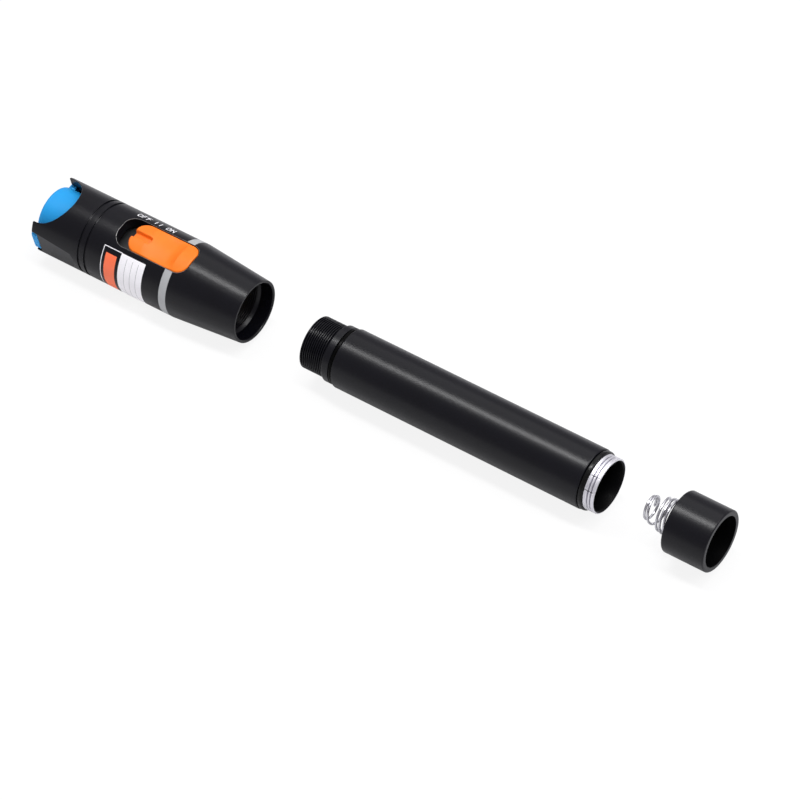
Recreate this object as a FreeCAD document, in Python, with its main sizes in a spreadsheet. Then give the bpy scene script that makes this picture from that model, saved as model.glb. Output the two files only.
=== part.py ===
"""Visual fault locator, a pen-shaped light source for optical fibre, taken apart in three groups on one line.

The pen's axis lies along X at the height of the head's radius. The head is at -X, then the battery tube, then the
tail cap, each a gap away from the next, as they lie before they are screwed together. +Z is up, and the origin is
under the middle of the row, on the surface that it lies on. Sizes are millimetres and degrees.
"""
import FreeCAD, Part
import math
import operator
import os
import Sketcher

Vector = FreeCAD.Vector
X_AXIS = Vector(1, 0, 0)
Y_AXIS = Vector(0, 1, 0)

# The driving dimensions, one cell of the sheet for each.
SIZES = {
    # How the three groups lie
    "tube_gap": 23.8,
    "cap_gap": 24.8,
    "roll_angle": 13.5,
    # Head shell, turned from bar
    "head_radius": 12.9,
    "head_length": 80.1,
    "head_rim_radius": 10.75,
    "taper_length": 25.0,
    "crown_bore_radius": 10.4,
    "crown_depth": 14.5,
    "web_thickness": 3.5,
    "web_hole_radius": 4.5,
    "edge_break": 0.3,
    "first_groove": 19.2,
    "groove_pitch": 2.6,
    "groove_width": 0.8,
    "groove_depth": 0.45,
    "scallop_radius": 9.8,
    "scallop_depth": 10.8,
    "flat_length": 17.0,
    "flat_distance": 11.9,
    "flat_slope": 2.0,
    "flat_half_width": 5.2,
    "notch_depth": 2.1,
    "notch_width": 9.0,
    "slot_front": 30.0,
    "slot_width": 11.7,
    "slot_corner": 4.0,
    # Battery tube
    "tube_radius": 10.0,
    "tube_bore_radius": 7.6,
    "tube_body_length": 91.1,
    "tube_edge_break": 0.7,
    "front_thread_length": 8.4,
    "front_thread_radius": 8.9,
    "collar_length": 2.9,
    "collar_radius": 9.6,
    "front_seal_width": 1.7,
    "seal_floor_radius": 8.5,
    "seal_section": 1.25,
    "rear_seal_width": 1.8,
    "rear_thread_length": 3.7,
    "rear_thread_radius": 9.16,
    "mouth_radius": 8.4,
    "mouth_depth": 4.0,
    # Tail cap and its spring
    "cap_radius": 10.24,
    "cap_length": 14.8,
    "cap_rear_bevel": 0.4,
    "cap_web_thickness": 1.6,
    "recess_radius": 8.45,
    "disc_thickness": 0.8,
    "boss_height": 1.0,
    "boss_radius": 5.6,
    "wire_radius": 0.4,
    "spring_reach": 10.8,
    "spring_tip_radius": 3.9,
    "screw_radius": 1.0,
    "screw_head_radius": 1.9,
    "screw_head_height": 1.2,
    # Dust cap
    "dust_cap_radius": 9.5,
    "dust_cap_front": 0.4,
    "dust_cap_front_bevel": 0.6,
    "dust_cap_rear_bevel": 2.2,
    "dust_cap_lobe_reach": 12.1,
    "dust_cap_lobe_width": 8.6,
    "dust_cap_lobe_bevel": 0.4,
    # Ferrule adapter, its lock ring and the sleeve
    "nose_front": 4.5,
    "nose_radius": 3.5,
    "nose_lip": 1.0,
    "nose_entry_radius": 1.5,
    "nose_chamfer": 0.4,
    "flange_radius": 7.4,
    "flange_thickness": 2.0,
    "sleeve_bore_radius": 1.25,
    "sleeve_wall": 0.36,
    "sleeve_length": 11.4,
    "sleeve_slit": 0.3,
    "sleeve_end_gap": 0.5,
    "light_hole_radius": 0.8,
    # Laser housing, lens and diode
    "housing_radius": 5.0,
    "housing_length": 13.5,
    "housing_bore_radius": 3.05,
    "lens_radius": 3.0,
    "lens_thickness": 2.4,
    "lens_curve_radius": 6.0,
    "lens_ring_thickness": 1.2,
    "lens_ring_hole_radius": 2.1,
    "middle_bore_radius": 2.0,
    "can_bore_radius": 2.45,
    "can_radius": 2.35,
    "can_length": 2.4,
    "diode_flange_radius": 2.8,
    "diode_flange_thickness": 1.2,
    "diode_depth": 4.4,
    "clamp_ring_thickness": 1.2,
    "clamp_ring_hole_radius": 2.0,
    "lead_radius": 0.22,
    "lead_length": 6.0,
    "lead_spread": 1.27,
    # Inner carrier and circuit board
    "carrier_radius": 8.9,
    "carrier_wall": 1.3,
    "carrier_front_wall": 3.0,
    "carrier_rail_height": 6.0,
    "ledge_height": 1.6,
    "board_width": 14.6,
    "board_thickness": 1.0,
    "board_gap": 0.6,
    "board_screw_radius": 0.8,
    "board_screw_head_radius": 1.5,
    "board_screw_head_height": 0.9,
    "board_screw_inset": 2.6,
    "board_screw_side": 5.4,
    "board_screw_reach": 2.4,
    "chip_length": 5.0,
    "chip_width": 3.9,
    "chip_height": 1.5,
    "chip_front": 9.5,
    "pin_width": 0.42,
    "pin_pitch": 1.27,
    "pin_reach": 1.05,
    "resistor_length": 2.0,
    "resistor_width": 1.25,
    "resistor_height": 0.5,
    "resistor_pitch": 2.3,
    "capacitor_radius": 2.0,
    "capacitor_height": 4.2,
    # Slide switch and its button
    "button_travel": 4.4,
    "button_end_gap": 0.3,
    "button_side_gap": 0.15,
    "button_top_radius": 12.75,
    "button_round": 0.4,
    "dish_radius": 26.0,
    "dish_depth": 0.8,
    "dish_middle": 13.0,
    "mark_groove_width": 1.3,
    "mark_groove_length": 7.2,
    "mark_groove_depth": 0.9,
    "shield_top": 6.9,
    "shield_thickness": 0.8,
    "shield_half_width": 5.6,
    "shield_lap": 1.2,
    "shield_end_gap": 0.9,
    "switch_end_wall": 1.6,
    "switch_width": 6.6,
    "switch_height": 3.7,
    "switch_wall": 0.8,
    "post_length": 3.0,
    "post_width": 2.0,
    "post_height": 1.4,
    "fork_wall": 1.4,
    "fork_width": 5.0,
    # Battery contacts in the head
    "insulator_thickness": 1.4,
    "contact_head_radius": 3.2,
    "contact_head_length": 2.0,
    "contact_stem_radius": 1.5,
    "contact_stem_length": 3.3,
    "ring_thickness": 1.0,
    "ring_inner_radius": 7.3,
    "ring_notch_width": 2.0,
    "ring_notch_depth": 0.9,
    # Clearances
    "thread_clearance": 0.1,
    "seal_clearance": 0.05,
    "end_clearance": 0.2,
    "slide_clearance": 0.1,
    "seat_clearance": 0.05,
}

doc = FreeCAD.newDocument("VisualFaultLocator")
sheet = doc.addObject("Spreadsheet::Sheet", "Sizes")


class Size:
    """A number together with the sheet's expression that gives it."""

    def __init__(self, value, text):
        self.value = value
        self.text = text

    def __add__(self, other):
        return joined(self, "+", other)

    def __radd__(self, other):
        return joined(other, "+", self)

    def __sub__(self, other):
        return joined(self, "-", other)

    def __rsub__(self, other):
        return joined(other, "-", self)

    def __mul__(self, other):
        return joined(self, "*", other)

    def __rmul__(self, other):
        return joined(other, "*", self)

    def __truediv__(self, other):
        return joined(self, "/", other)

    def __neg__(self):
        return joined(0, "-", self)


SIGNS = {"+": operator.add, "-": operator.sub, "*": operator.mul, "/": operator.truediv}


def size(given):
    """A plain number as a Size, and a Size as it is."""
    if isinstance(given, Size):
        return given
    return Size(float(given), repr(given))


def joined(left, sign, right):
    left, right = size(left), size(right)
    text = "(%s %s %s)" % (left.text, sign, right.text)
    return Size(SIGNS[sign](left.value, right.value), text)


class Sheet:
    """The sheet's cells as attributes, each one a Size."""

    def __init__(self, cells):
        for row, (alias, value) in enumerate(cells.items(), start=1):
            sheet.set("A%d" % row, alias.replace("_", " "))
            sheet.set("B%d" % row, repr(value))
            sheet.setAlias("B%d" % row, alias)
            setattr(self, alias, Size(value, "Sizes." + alias))


d = Sheet(SIZES)
doc.recompute()

# Lengths along the axis that several pieces share
TUBE_LENGTH = (d.front_thread_length + d.collar_length + d.front_seal_width + d.tube_body_length
               + d.rear_seal_width + d.rear_thread_length)
ROW_LENGTH = d.dust_cap_front + d.head_length + d.tube_gap + TUBE_LENGTH + d.cap_gap + d.cap_length
HEAD_X = ROW_LENGTH / -2 + d.dust_cap_front
TUBE_X = HEAD_X + d.head_length + d.tube_gap
CAP_X = TUBE_X + TUBE_LENGTH + d.cap_gap
AXIS_Z = d.head_radius

# Radii of the bores that take the tube's threads and seals
SEAL_REACH = d.seal_floor_radius + d.seal_section
SEAL_BORE = SEAL_REACH + d.seal_clearance
HEAD_BORE = d.front_thread_radius + d.thread_clearance
CAP_BORE = d.rear_thread_radius + d.thread_clearance

# Stations in the head, counted from the tips of its crown
TUBE_NOSE = d.front_thread_length + d.collar_length + d.front_seal_width
HOME_FRONT = d.head_length - TUBE_NOSE + d.end_clearance
SEAL_BORE_START = d.head_length - d.front_seal_width - d.collar_length - d.end_clearance
WEB_REAR = d.crown_depth + d.web_thickness
HOUSING_REAR = WEB_REAR + d.housing_length
RING_FRONT = HOME_FRONT - d.ring_thickness
INSULATOR_FRONT = RING_FRONT - d.insulator_thickness
BOARD_FRONT = HOUSING_REAR + d.board_gap
BOARD_REAR = INSULATOR_FRONT - d.contact_stem_length
BOARD_TOP = d.board_thickness / 2
LEAD_FRONT = HOUSING_REAR - d.diode_depth + d.diode_flange_thickness
LEAD_REAR = LEAD_FRONT + d.lead_length
SHIELD_BOTTOM = d.shield_top - d.shield_thickness
SHIELD_REAR = INSULATOR_FRONT - d.shield_end_gap
SLOT_REAR = SHIELD_REAR - d.shield_lap - d.button_travel
BUTTON_FRONT = d.slot_front + d.button_end_gap + d.button_travel
BUTTON_REAR = SLOT_REAR - d.button_end_gap
BUTTON_WIDTH = d.slot_width - 2 * d.button_side_gap
BUTTON_MIDDLE = (BUTTON_FRONT + BUTTON_REAR) / 2

# Stations in the tail cap, counted from its front face
CAP_SEAL_DEPTH = d.rear_seal_width
DISC_FRONT = d.rear_seal_width + d.rear_thread_length - d.end_clearance
DISC_REAR = DISC_FRONT + d.disc_thickness
CAP_WEB_REAR = DISC_REAR + d.cap_web_thickness

subparts = []


def bind(thing, **properties):
    """Ties properties of an object to the sheet, with __ for the dot in a property's path."""
    for name, wanted in properties.items():
        thing.setExpression(name.replace("__", "."), size(wanted).text)


def finished(thing, label, start, rolled=True):
    """Names a sub-part and puts it at its station on the axis, rolled with the head where it belongs there."""
    thing.Label = label
    turn = d.roll_angle if rolled else size(0)
    thing.Placement = FreeCAD.Placement(Vector(start.value, 0, AXIS_Z.value), FreeCAD.Rotation(X_AXIS, turn.value))
    if thing.TypeId != "Part::Feature":
        bind(thing, Placement__Base__x=start, Placement__Base__z=AXIS_Z)
        if rolled:
            bind(thing, Placement__Rotation__Angle=turn)
    subparts.append(thing)
    return thing


def plane(body, role):
    return next(feature for feature in body.Origin.OriginFeatures if feature.Role == role)


def new_sketch(body, name, role, offset=None, tilt=None):
    """A sketch on one of the body's own planes, moved along the plane's normal and tilted about its upright."""
    sketch = body.newObject("Sketcher::SketchObject", name)
    sketch.AttachmentSupport = [(plane(body, role), "")]
    sketch.MapMode = "FlatFace"
    if offset is not None:
        angle = tilt.value if tilt is not None else 0.0
        sketch.AttachmentOffset = FreeCAD.Placement(Vector(0, 0, offset.value), FreeCAD.Rotation(Y_AXIS, angle))
        bind(sketch, AttachmentOffset__Base__z=offset)
        if tilt is not None:
            bind(sketch, AttachmentOffset__Rotation__Angle=tilt)
    return sketch


def pin_point(sketch, element, point, x, y):
    """Fixes one point of a sketch by its two distances from the origin."""
    for kind, wanted in (("DistanceX", size(x)), ("DistanceY", size(y))):
        row = sketch.addConstraint(Sketcher.Constraint(kind, -1, 1, element, point, wanted.value))
        sketch.setExpression("Constraints[%d]" % row, wanted.text)


def outline(sketch, points):
    """Adds a closed outline of straight runs through the points."""
    points = [(size(x), size(y)) for x, y in points]
    first = sketch.GeometryCount
    for index, (x, y) in enumerate(points):
        end_x, end_y = points[(index + 1) % len(points)]
        run = Part.LineSegment(Vector(x.value, y.value, 0), Vector(end_x.value, end_y.value, 0))
        sketch.addGeometry(run, False)
    for index in range(len(points)):
        following = first + (index + 1) % len(points)
        sketch.addConstraint(Sketcher.Constraint("Coincident", first + index, 2, following, 1))
    for index, (x, y) in enumerate(points):
        pin_point(sketch, first + index, 1, x, y)


def ring(sketch, x, y, radius):
    """Adds a circle."""
    middle, radius = (size(x), size(y)), size(radius)
    centre = Vector(middle[0].value, middle[1].value, 0)
    element = sketch.addGeometry(Part.Circle(centre, Vector(0, 0, 1), radius.value), False)
    row = sketch.addConstraint(Sketcher.Constraint("Radius", element, radius.value))
    sketch.setExpression("Constraints[%d]" % row, radius.text)
    pin_point(sketch, element, 3, x, y)


def box_outline(sketch, x_low, x_high, y_low, y_high):
    outline(sketch, [(x_low, y_low), (x_high, y_low), (x_high, y_high), (x_low, y_high)])


def rounded_outline(sketch, x_low, x_high, y_low, y_high, radius):
    """Adds a rectangle with round corners, each corner an arc that starts where a straight run ends."""
    x_low, x_high, y_low, y_high, radius = (size(given) for given in (x_low, x_high, y_low, y_high, radius))
    left, right, low, high = x_low + radius, x_high - radius, y_low + radius, y_high - radius
    corners = [(left, low, left - radius, low, "DistanceX"), (right, low, right, low - radius, "DistanceY"),
               (right, high, right + radius, high, "DistanceX"), (left, high, left, high + radius, "DistanceY")]
    first = sketch.GeometryCount
    for index, (x, y, start_x, start_y, _) in enumerate(corners):
        circle = Part.Circle(Vector(x.value, y.value, 0), Vector(0, 0, 1), radius.value)
        begin = math.pi + index * math.pi / 2
        sketch.addGeometry(Part.ArcOfCircle(circle, begin, begin + math.pi / 2), False)
    for index in range(4):
        x, y = corners[index][:2]
        here = sketch.Geometry[first + index].EndPoint
        there = sketch.Geometry[first + (index + 1) % 4].StartPoint
        run = sketch.addGeometry(Part.LineSegment(here, there), False)
        sketch.addConstraint(Sketcher.Constraint("Coincident", run, 1, first + index, 2))
        sketch.addConstraint(Sketcher.Constraint("Coincident", run, 2, first + (index + 1) % 4, 1))
    for index, (x, y, start_x, start_y, kind) in enumerate(corners):
        pin_point(sketch, first + index, 3, x, y)
        pin_point(sketch, first + index, 1, start_x, start_y)
        wanted = x if kind == "DistanceX" else y
        row = sketch.addConstraint(Sketcher.Constraint(kind, -1, 1, first + index, 2, wanted.value))
        sketch.setExpression("Constraints[%d]" % row, wanted.text)


def turned(name, points):
    """A body turned about the X axis from an outline of stations and radii."""
    body = doc.addObject("PartDesign::Body", name)
    sketch = new_sketch(body, name + "_section", "XY_Plane")
    outline(sketch, points)
    turning = body.newObject("PartDesign::Revolution", name + "_turning")
    turning.Profile = sketch
    turning.ReferenceAxis = (sketch, ["H_Axis"])
    doc.recompute()
    return body


def bored(body, name, points):
    """Cuts a groove or bore, turned about the X axis, out of the body."""
    sketch = new_sketch(body, name + "_section", "XY_Plane")
    outline(sketch, points)
    cut = body.newObject("PartDesign::Groove", name)
    cut.Profile = sketch
    cut.ReferenceAxis = (sketch, ["H_Axis"])
    return checked_cut(body, cut)


def checked_cut(body, cut):
    """Recomputes a cut and makes sure that it took something away."""
    before = cut.BaseFeature.Shape.Volume if cut.BaseFeature else 0
    doc.recompute()
    if before and not cut.Shape.Volume < before - 1e-6:
        raise RuntimeError("%s of %s cuts nothing" % (cut.Name, body.Name))
    return cut


def pocketed(body, name, sketch, length=None, flipped=False, both_ways=False):
    """Cuts a sketch out of the body, to a length or right through."""
    cut = body.newObject("PartDesign::Pocket", name)
    cut.Profile = sketch
    cut.Reversed = flipped
    if length is None:
        cut.Type = "ThroughAll"
    else:
        cut.Type = "Length"
        bind(cut, Length=length)
    if both_ways:
        cut.SideType = "Symmetric"
    return checked_cut(body, cut)


def padded(body, name, sketch, length):
    pad = body.newObject("PartDesign::Pad", name)
    pad.Profile = sketch
    bind(pad, Length=length)
    doc.recompute()
    return pad


def near(a, b):
    return abs(a - b) < 0.01


def block(name, x_low, x_high, y_low, y_high, z_low, z_high):
    """A rectangular block between named faces."""
    made = doc.addObject("Part::Box", name)
    x_low, y_low, z_low = size(x_low), size(y_low), size(z_low)
    bind(made, Length=x_high - x_low, Width=y_high - y_low, Height=z_high - z_low)
    bind(made, Placement__Base__x=x_low, Placement__Base__y=y_low, Placement__Base__z=z_low)
    return made


def rod(name, x_low, x_high, radius, y=0, z=0):
    """A round rod along X."""
    made = doc.addObject("Part::Cylinder", name)
    x_low = size(x_low)
    made.Placement = FreeCAD.Placement(Vector(), FreeCAD.Rotation(Y_AXIS, 90))
    bind(made, Radius=radius, Height=x_high - x_low)
    bind(made, Placement__Base__x=x_low, Placement__Base__y=y, Placement__Base__z=z)
    return made


def upright(name, x, y, z_low, z_high, radius):
    """A round rod along Z."""
    made = doc.addObject("Part::Cylinder", name)
    z_low = size(z_low)
    bind(made, Radius=radius, Height=z_high - z_low)
    bind(made, Placement__Base__x=x, Placement__Base__y=y, Placement__Base__z=z_low)
    return made


def crossways(name, x, z, half_length, radius):
    """A round rod along Y, as long to either side."""
    made = doc.addObject("Part::Cylinder", name)
    made.Placement = FreeCAD.Placement(Vector(), FreeCAD.Rotation(X_AXIS, -90))
    half_length = size(half_length)
    bind(made, Radius=radius, Height=2 * half_length)
    bind(made, Placement__Base__x=x, Placement__Base__y=-half_length, Placement__Base__z=z)
    return made


def fused(name, *pieces):
    made = doc.addObject("Part::MultiFuse", name)
    made.Shapes = list(pieces)
    return made


def cut(name, base, tool):
    made = doc.addObject("Part::Cut", name)
    made.Base = base
    made.Tool = tool
    return made


def common(name, *pieces):
    made = doc.addObject("Part::MultiCommon", name)
    made.Shapes = list(pieces)
    return made


def bevelled(name, base, width, wanted):
    """Bevels the edges of a shape that a test picks, all to one width."""
    doc.recompute()
    made = doc.addObject("Part::Chamfer", name)
    made.Base = base
    picked = [index + 1 for index, edge in enumerate(base.Shape.Edges) if wanted(edge)]
    made.Edges = [(index, width.value, width.value) for index in picked]
    return made


def make_head_shell():
    """One turned shell: a scalloped crown with two milled flats, a web, the long bore and the switch slot."""
    taper_start = d.head_length - d.taper_length
    body = turned("head_shell", [
        (0, d.crown_bore_radius + d.edge_break),
        (0, d.head_radius - d.edge_break),
        (d.edge_break, d.head_radius),
        (taper_start, d.head_radius),
        (d.head_length, d.head_rim_radius),
        (d.head_length, SEAL_BORE + d.edge_break),
        (d.head_length - d.edge_break, SEAL_BORE),
        (SEAL_BORE_START, SEAL_BORE),
        (SEAL_BORE_START - (SEAL_BORE - HEAD_BORE), HEAD_BORE),
        (WEB_REAR, HEAD_BORE),
        (WEB_REAR, d.web_hole_radius),
        (d.crown_depth, d.web_hole_radius),
        (d.crown_depth, d.crown_bore_radius),
        (d.edge_break, d.crown_bore_radius),
    ])
    for name, station in (("front_ring_groove", d.first_groove), ("rear_ring_groove", d.first_groove + d.groove_pitch)):
        half = d.groove_width / 2
        bored(body, name, [
            (station - half, d.head_radius + d.edge_break),
            (station - half, d.head_radius - d.groove_depth),
            (station + half, d.head_radius - d.groove_depth),
            (station + half, d.head_radius + d.edge_break),
        ])
    # The crown's scallops are one round hole through both sides, in line with the switch slot.
    scallops = new_sketch(body, "scallop_circle", "XY_Plane")
    ring(scallops, d.scallop_depth - d.scallop_radius, 0, d.scallop_radius)
    pocketed(body, "scallops", scallops, both_ways=True)
    # The notches let the dust cap's lobes into the crown's tips.
    notches = new_sketch(body, "notch_outline", "XZ_Plane")
    box_outline(notches, -d.edge_break, d.notch_depth, d.notch_width / -2, d.notch_width / 2)
    pocketed(body, "notches", notches, both_ways=True)
    # Each flat is milled outwards from a plane that leaves the axis by the flat's slope.
    for side, sign in (("left", 1), ("right", -1)):
        straight = d.flat_length - d.flat_half_width
        lean = d.flat_slope * sign
        run = new_sketch(body, side + "_flat_run", "XZ_Plane", sign * d.flat_distance, lean * -1)
        box_outline(run, -d.edge_break, straight, -d.flat_half_width, d.flat_half_width)
        pocketed(body, side + "_flat", run, length=d.head_radius / 2, flipped=sign > 0)
        end = new_sketch(body, side + "_flat_end_circle", "XZ_Plane", sign * d.flat_distance, lean * -1)
        ring(end, straight, 0, d.flat_half_width)
        pocketed(body, side + "_flat_end", end, length=d.head_radius / 2, flipped=sign > 0)
    slot = new_sketch(body, "slot_outline", "XY_Plane")
    rounded_outline(slot, d.slot_front, SLOT_REAR, d.slot_width / -2, d.slot_width / 2, d.slot_corner)
    pocketed(body, "switch_slot", slot, flipped=True)
    return finished(body, "head_shell", HEAD_X)


def make_dust_cap():
    """A rubber plug over the adapter's nose, with two lobes that drop into the crown's notches."""
    front = -d.dust_cap_front
    rear = d.crown_depth - d.flange_thickness - d.end_clearance
    socket = d.nose_radius + d.slide_clearance
    plug = turned("dust_cap_plug", [
        (front, 0),
        (front, d.dust_cap_radius - d.dust_cap_front_bevel),
        (front + d.dust_cap_front_bevel, d.dust_cap_radius),
        (rear - d.dust_cap_rear_bevel, d.dust_cap_radius),
        (rear, d.dust_cap_radius - d.dust_cap_rear_bevel / 2),
        (rear, socket),
        (d.nose_front - d.end_clearance, socket),
        (d.nose_front - d.end_clearance, 0),
    ])
    half = d.dust_cap_lobe_width / 2
    lobe_rear = d.notch_depth - d.slide_clearance
    bar = block("lobe_bar", front, lobe_rear, -d.dust_cap_lobe_reach, d.dust_cap_lobe_reach, -half, half)
    soft_lobes = bevelled("soft_lobes", bar, d.dust_cap_lobe_bevel, front_lobe_edge)
    return finished(fused("dust_cap_whole", plug, soft_lobes), "dust_cap", HEAD_X)


def front_lobe_edge(edge):
    """The lobes' edges around their front face."""
    return near(edge.BoundBox.XMin, -d.dust_cap_front.value) and near(edge.BoundBox.XMax, -d.dust_cap_front.value)


def make_ferrule_adapter():
    """The plated nose that the fibre's ferrule goes into, with its thicker stem through the crown's floor."""
    stem_front = d.crown_depth - d.flange_thickness
    stem = d.web_hole_radius - d.seat_clearance
    pocket = d.sleeve_bore_radius + d.sleeve_wall + d.seat_clearance
    pocket_front = d.nose_front + d.nose_lip
    pocket_rear = pocket_front + d.sleeve_length + d.sleeve_end_gap
    body = turned("ferrule_adapter", [
        (d.nose_front, d.nose_entry_radius),
        (d.nose_front, d.nose_radius - d.nose_chamfer),
        (d.nose_front + d.nose_chamfer, d.nose_radius),
        (stem_front, d.nose_radius),
        (stem_front, stem),
        (WEB_REAR, stem),
        (WEB_REAR, d.light_hole_radius),
        (pocket_rear, d.light_hole_radius),
        (pocket_rear, pocket),
        (pocket_front, pocket),
        (pocket_front, d.nose_entry_radius),
    ])
    return finished(body, "ferrule_adapter", HEAD_X)


def make_adapter_lock_ring():
    """The plated ring that holds the adapter's stem on the crown's floor."""
    body = turned("adapter_lock_ring", [
        (d.crown_depth - d.flange_thickness, d.web_hole_radius),
        (d.crown_depth - d.flange_thickness, d.flange_radius),
        (d.crown_depth, d.flange_radius),
        (d.crown_depth, d.web_hole_radius),
    ])
    return finished(body, "adapter_lock_ring", HEAD_X)


def make_ferrule_sleeve():
    """The ceramic sleeve, slit along one side, that lines up the ferrule."""
    start = d.nose_front + d.nose_lip + d.end_clearance / 2
    outer = d.sleeve_bore_radius + d.sleeve_wall
    body = turned("ferrule_sleeve", [
        (start, d.sleeve_bore_radius),
        (start, outer),
        (start + d.sleeve_length, outer),
        (start + d.sleeve_length, d.sleeve_bore_radius),
    ])
    slit = new_sketch(body, "slit_outline", "XY_Plane")
    box_outline(slit, start - d.edge_break, start + d.sleeve_length + d.edge_break, d.sleeve_slit / -2, d.sleeve_slit / 2)
    pocketed(body, "slit", slit)
    return finished(body, "ferrule_sleeve", HEAD_X)


def make_laser_housing():
    """A turned brass barrel, with the lens seat at its front and the diode seat at its rear."""
    lens_seat = WEB_REAR + d.lens_ring_thickness + d.lens_thickness
    flange_seat = HOUSING_REAR - d.diode_depth
    can_seat = flange_seat - d.can_length - d.seat_clearance
    body = turned("laser_housing", [
        (WEB_REAR, d.housing_bore_radius),
        (WEB_REAR, d.housing_radius),
        (HOUSING_REAR, d.housing_radius),
        (HOUSING_REAR, d.housing_bore_radius),
        (flange_seat, d.housing_bore_radius),
        (flange_seat, d.can_bore_radius),
        (can_seat, d.can_bore_radius),
        (can_seat, d.middle_bore_radius),
        (lens_seat, d.middle_bore_radius),
        (lens_seat, d.housing_bore_radius),
    ])
    return finished(body, "laser_housing", HEAD_X)


def make_lens():
    """A biconvex lens, two balls' overlap cut to the seat's bore."""
    front = WEB_REAR + d.lens_ring_thickness
    rear = front + d.lens_thickness
    ends = []
    for name, middle in (("front_ball", front + d.lens_curve_radius), ("rear_ball", rear - d.lens_curve_radius)):
        ball = doc.addObject("Part::Sphere", name)
        bind(ball, Radius=d.lens_curve_radius, Placement__Base__x=middle)
        ends.append(ball)
    blank = rod("lens_blank", front, rear, d.lens_radius)
    return finished(common("lens_whole", blank, *ends), "focus_lens", HEAD_X)


def make_lens_ring():
    """The threaded ring that holds the lens on its seat."""
    rear = WEB_REAR + d.lens_ring_thickness
    body = turned("lens_ring", [
        (WEB_REAR, d.lens_ring_hole_radius),
        (WEB_REAR, d.lens_radius),
        (rear, d.lens_radius),
        (rear, d.lens_ring_hole_radius),
    ])
    return finished(body, "lens_ring", HEAD_X)


def make_laser_diode():
    """A metal can on a round flange, with three leads that straddle the board's front edge."""
    flange_front = HOUSING_REAR - d.diode_depth
    flange = rod("diode_flange", flange_front, LEAD_FRONT, d.diode_flange_radius)
    can = rod("diode_can", flange_front - d.can_length, flange_front, d.can_radius)
    window = rod("diode_window", flange_front - d.can_length, flange_front - d.can_length / 2, d.can_radius / 3)
    lead_height = BOARD_TOP + d.lead_radius
    places = ((-d.lead_spread, lead_height), (d.lead_spread, lead_height), (size(0), -lead_height))
    leads = [rod("diode_lead_%d" % number, LEAD_FRONT, LEAD_REAR, d.lead_radius, y, z)
             for number, (y, z) in enumerate(places)]
    whole = fused("diode_whole", cut("diode_open_can", can, window), flange, *leads)
    return finished(whole, "laser_diode", HEAD_X)


def make_clamp_ring():
    """The ring that presses the diode's flange into its seat."""
    rear = LEAD_FRONT + d.clamp_ring_thickness
    body = turned("clamp_ring", [
        (LEAD_FRONT, d.clamp_ring_hole_radius),
        (LEAD_FRONT, d.housing_bore_radius - d.seat_clearance),
        (rear, d.housing_bore_radius - d.seat_clearance),
        (rear, d.clamp_ring_hole_radius),
    ])
    return finished(body, "diode_clamp_ring", HEAD_X)


def make_inner_carrier():
    """A moulded trough that slides in from the rear, holds the housing and carries the board on two ledges."""
    start = WEB_REAR + d.end_clearance
    trough = rod("trough_blank", start, INSULATOR_FRONT, d.carrier_radius)
    wall_rear = start + d.carrier_front_wall
    inside = rod("trough_inside", wall_rear, INSULATOR_FRONT, d.carrier_radius - d.carrier_wall)
    hole = rod("housing_hole", start, wall_rear, d.housing_radius + d.seat_clearance)
    top = block("trough_top", wall_rear, INSULATOR_FRONT, -d.carrier_radius, d.carrier_radius,
                d.carrier_rail_height, d.carrier_radius)
    shell = cut("trough_shell", trough, fused("trough_cuts", inside, hole, top))
    ledges = []
    inner = d.board_screw_side - d.board_screw_radius - d.end_clearance
    reach = d.carrier_radius - d.carrier_wall / 2
    for name, low, high in (("left_ledge", inner, reach), ("right_ledge", -reach, -inner)):
        ledges.append(block(name, BOARD_FRONT, INSULATOR_FRONT, low, high, -BOARD_TOP - d.ledge_height, -BOARD_TOP))
    bar = common("ledges_in_bore", fused("ledge_pair", *ledges),
                 rod("ledge_limit", BOARD_FRONT, INSULATOR_FRONT, reach))
    holes = [upright("screw_hole_%d" % number, x, y, -BOARD_TOP - d.ledge_height, -BOARD_TOP, d.board_screw_radius)
             for number, (x, y) in enumerate(board_screw_places())]
    whole = cut("carrier_drilled", fused("carrier_blank", shell, bar), fused("carrier_holes", *holes))
    return finished(whole, "inner_carrier", HEAD_X)


def board_screw_places():
    """Two places on the ledges, one near each end of the board."""
    side = d.board_screw_side
    front = BOARD_FRONT + d.board_screw_inset
    rear = BOARD_REAR - d.board_screw_inset
    return ((front, side), (rear, -side))


def make_circuit_board():
    low, high = d.board_width / -2, d.board_width / 2
    plate = block("board_plate", BOARD_FRONT, BOARD_REAR, low, high, -BOARD_TOP, BOARD_TOP)
    holes = [upright("board_hole_%d" % number, x, y, -BOARD_TOP, BOARD_TOP, d.board_screw_radius + d.seat_clearance)
             for number, (x, y) in enumerate(board_screw_places())]
    return finished(cut("board_drilled", plate, fused("board_holes", *holes)), "circuit_board", HEAD_X)


def make_board_screws():
    """Two small screws that hold the board down on the carrier's ledges."""
    screws = []
    for number, (x, y) in enumerate(board_screw_places()):
        head = upright("board_screw_head_%d" % number, x, y, BOARD_TOP, BOARD_TOP + d.board_screw_head_height,
                       d.board_screw_head_radius)
        shank = upright("board_screw_shank_%d" % number, x, y, BOARD_TOP - d.board_screw_reach, BOARD_TOP,
                        d.board_screw_radius)
        cross = block("board_screw_cross_%d" % number, x - d.board_screw_radius, x + d.board_screw_radius,
                      y - d.pin_width / 2, y + d.pin_width / 2, BOARD_TOP + d.board_screw_head_height / 2,
                      BOARD_TOP + d.board_screw_head_height)
        screws.append(cut("board_screw_%d" % number, fused("board_screw_blank_%d" % number, head, shank), cross))
    pair = doc.addObject("Part::Compound", "board_screw_pair")
    pair.Links = screws
    return finished(pair, "board_screws", HEAD_X)


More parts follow.
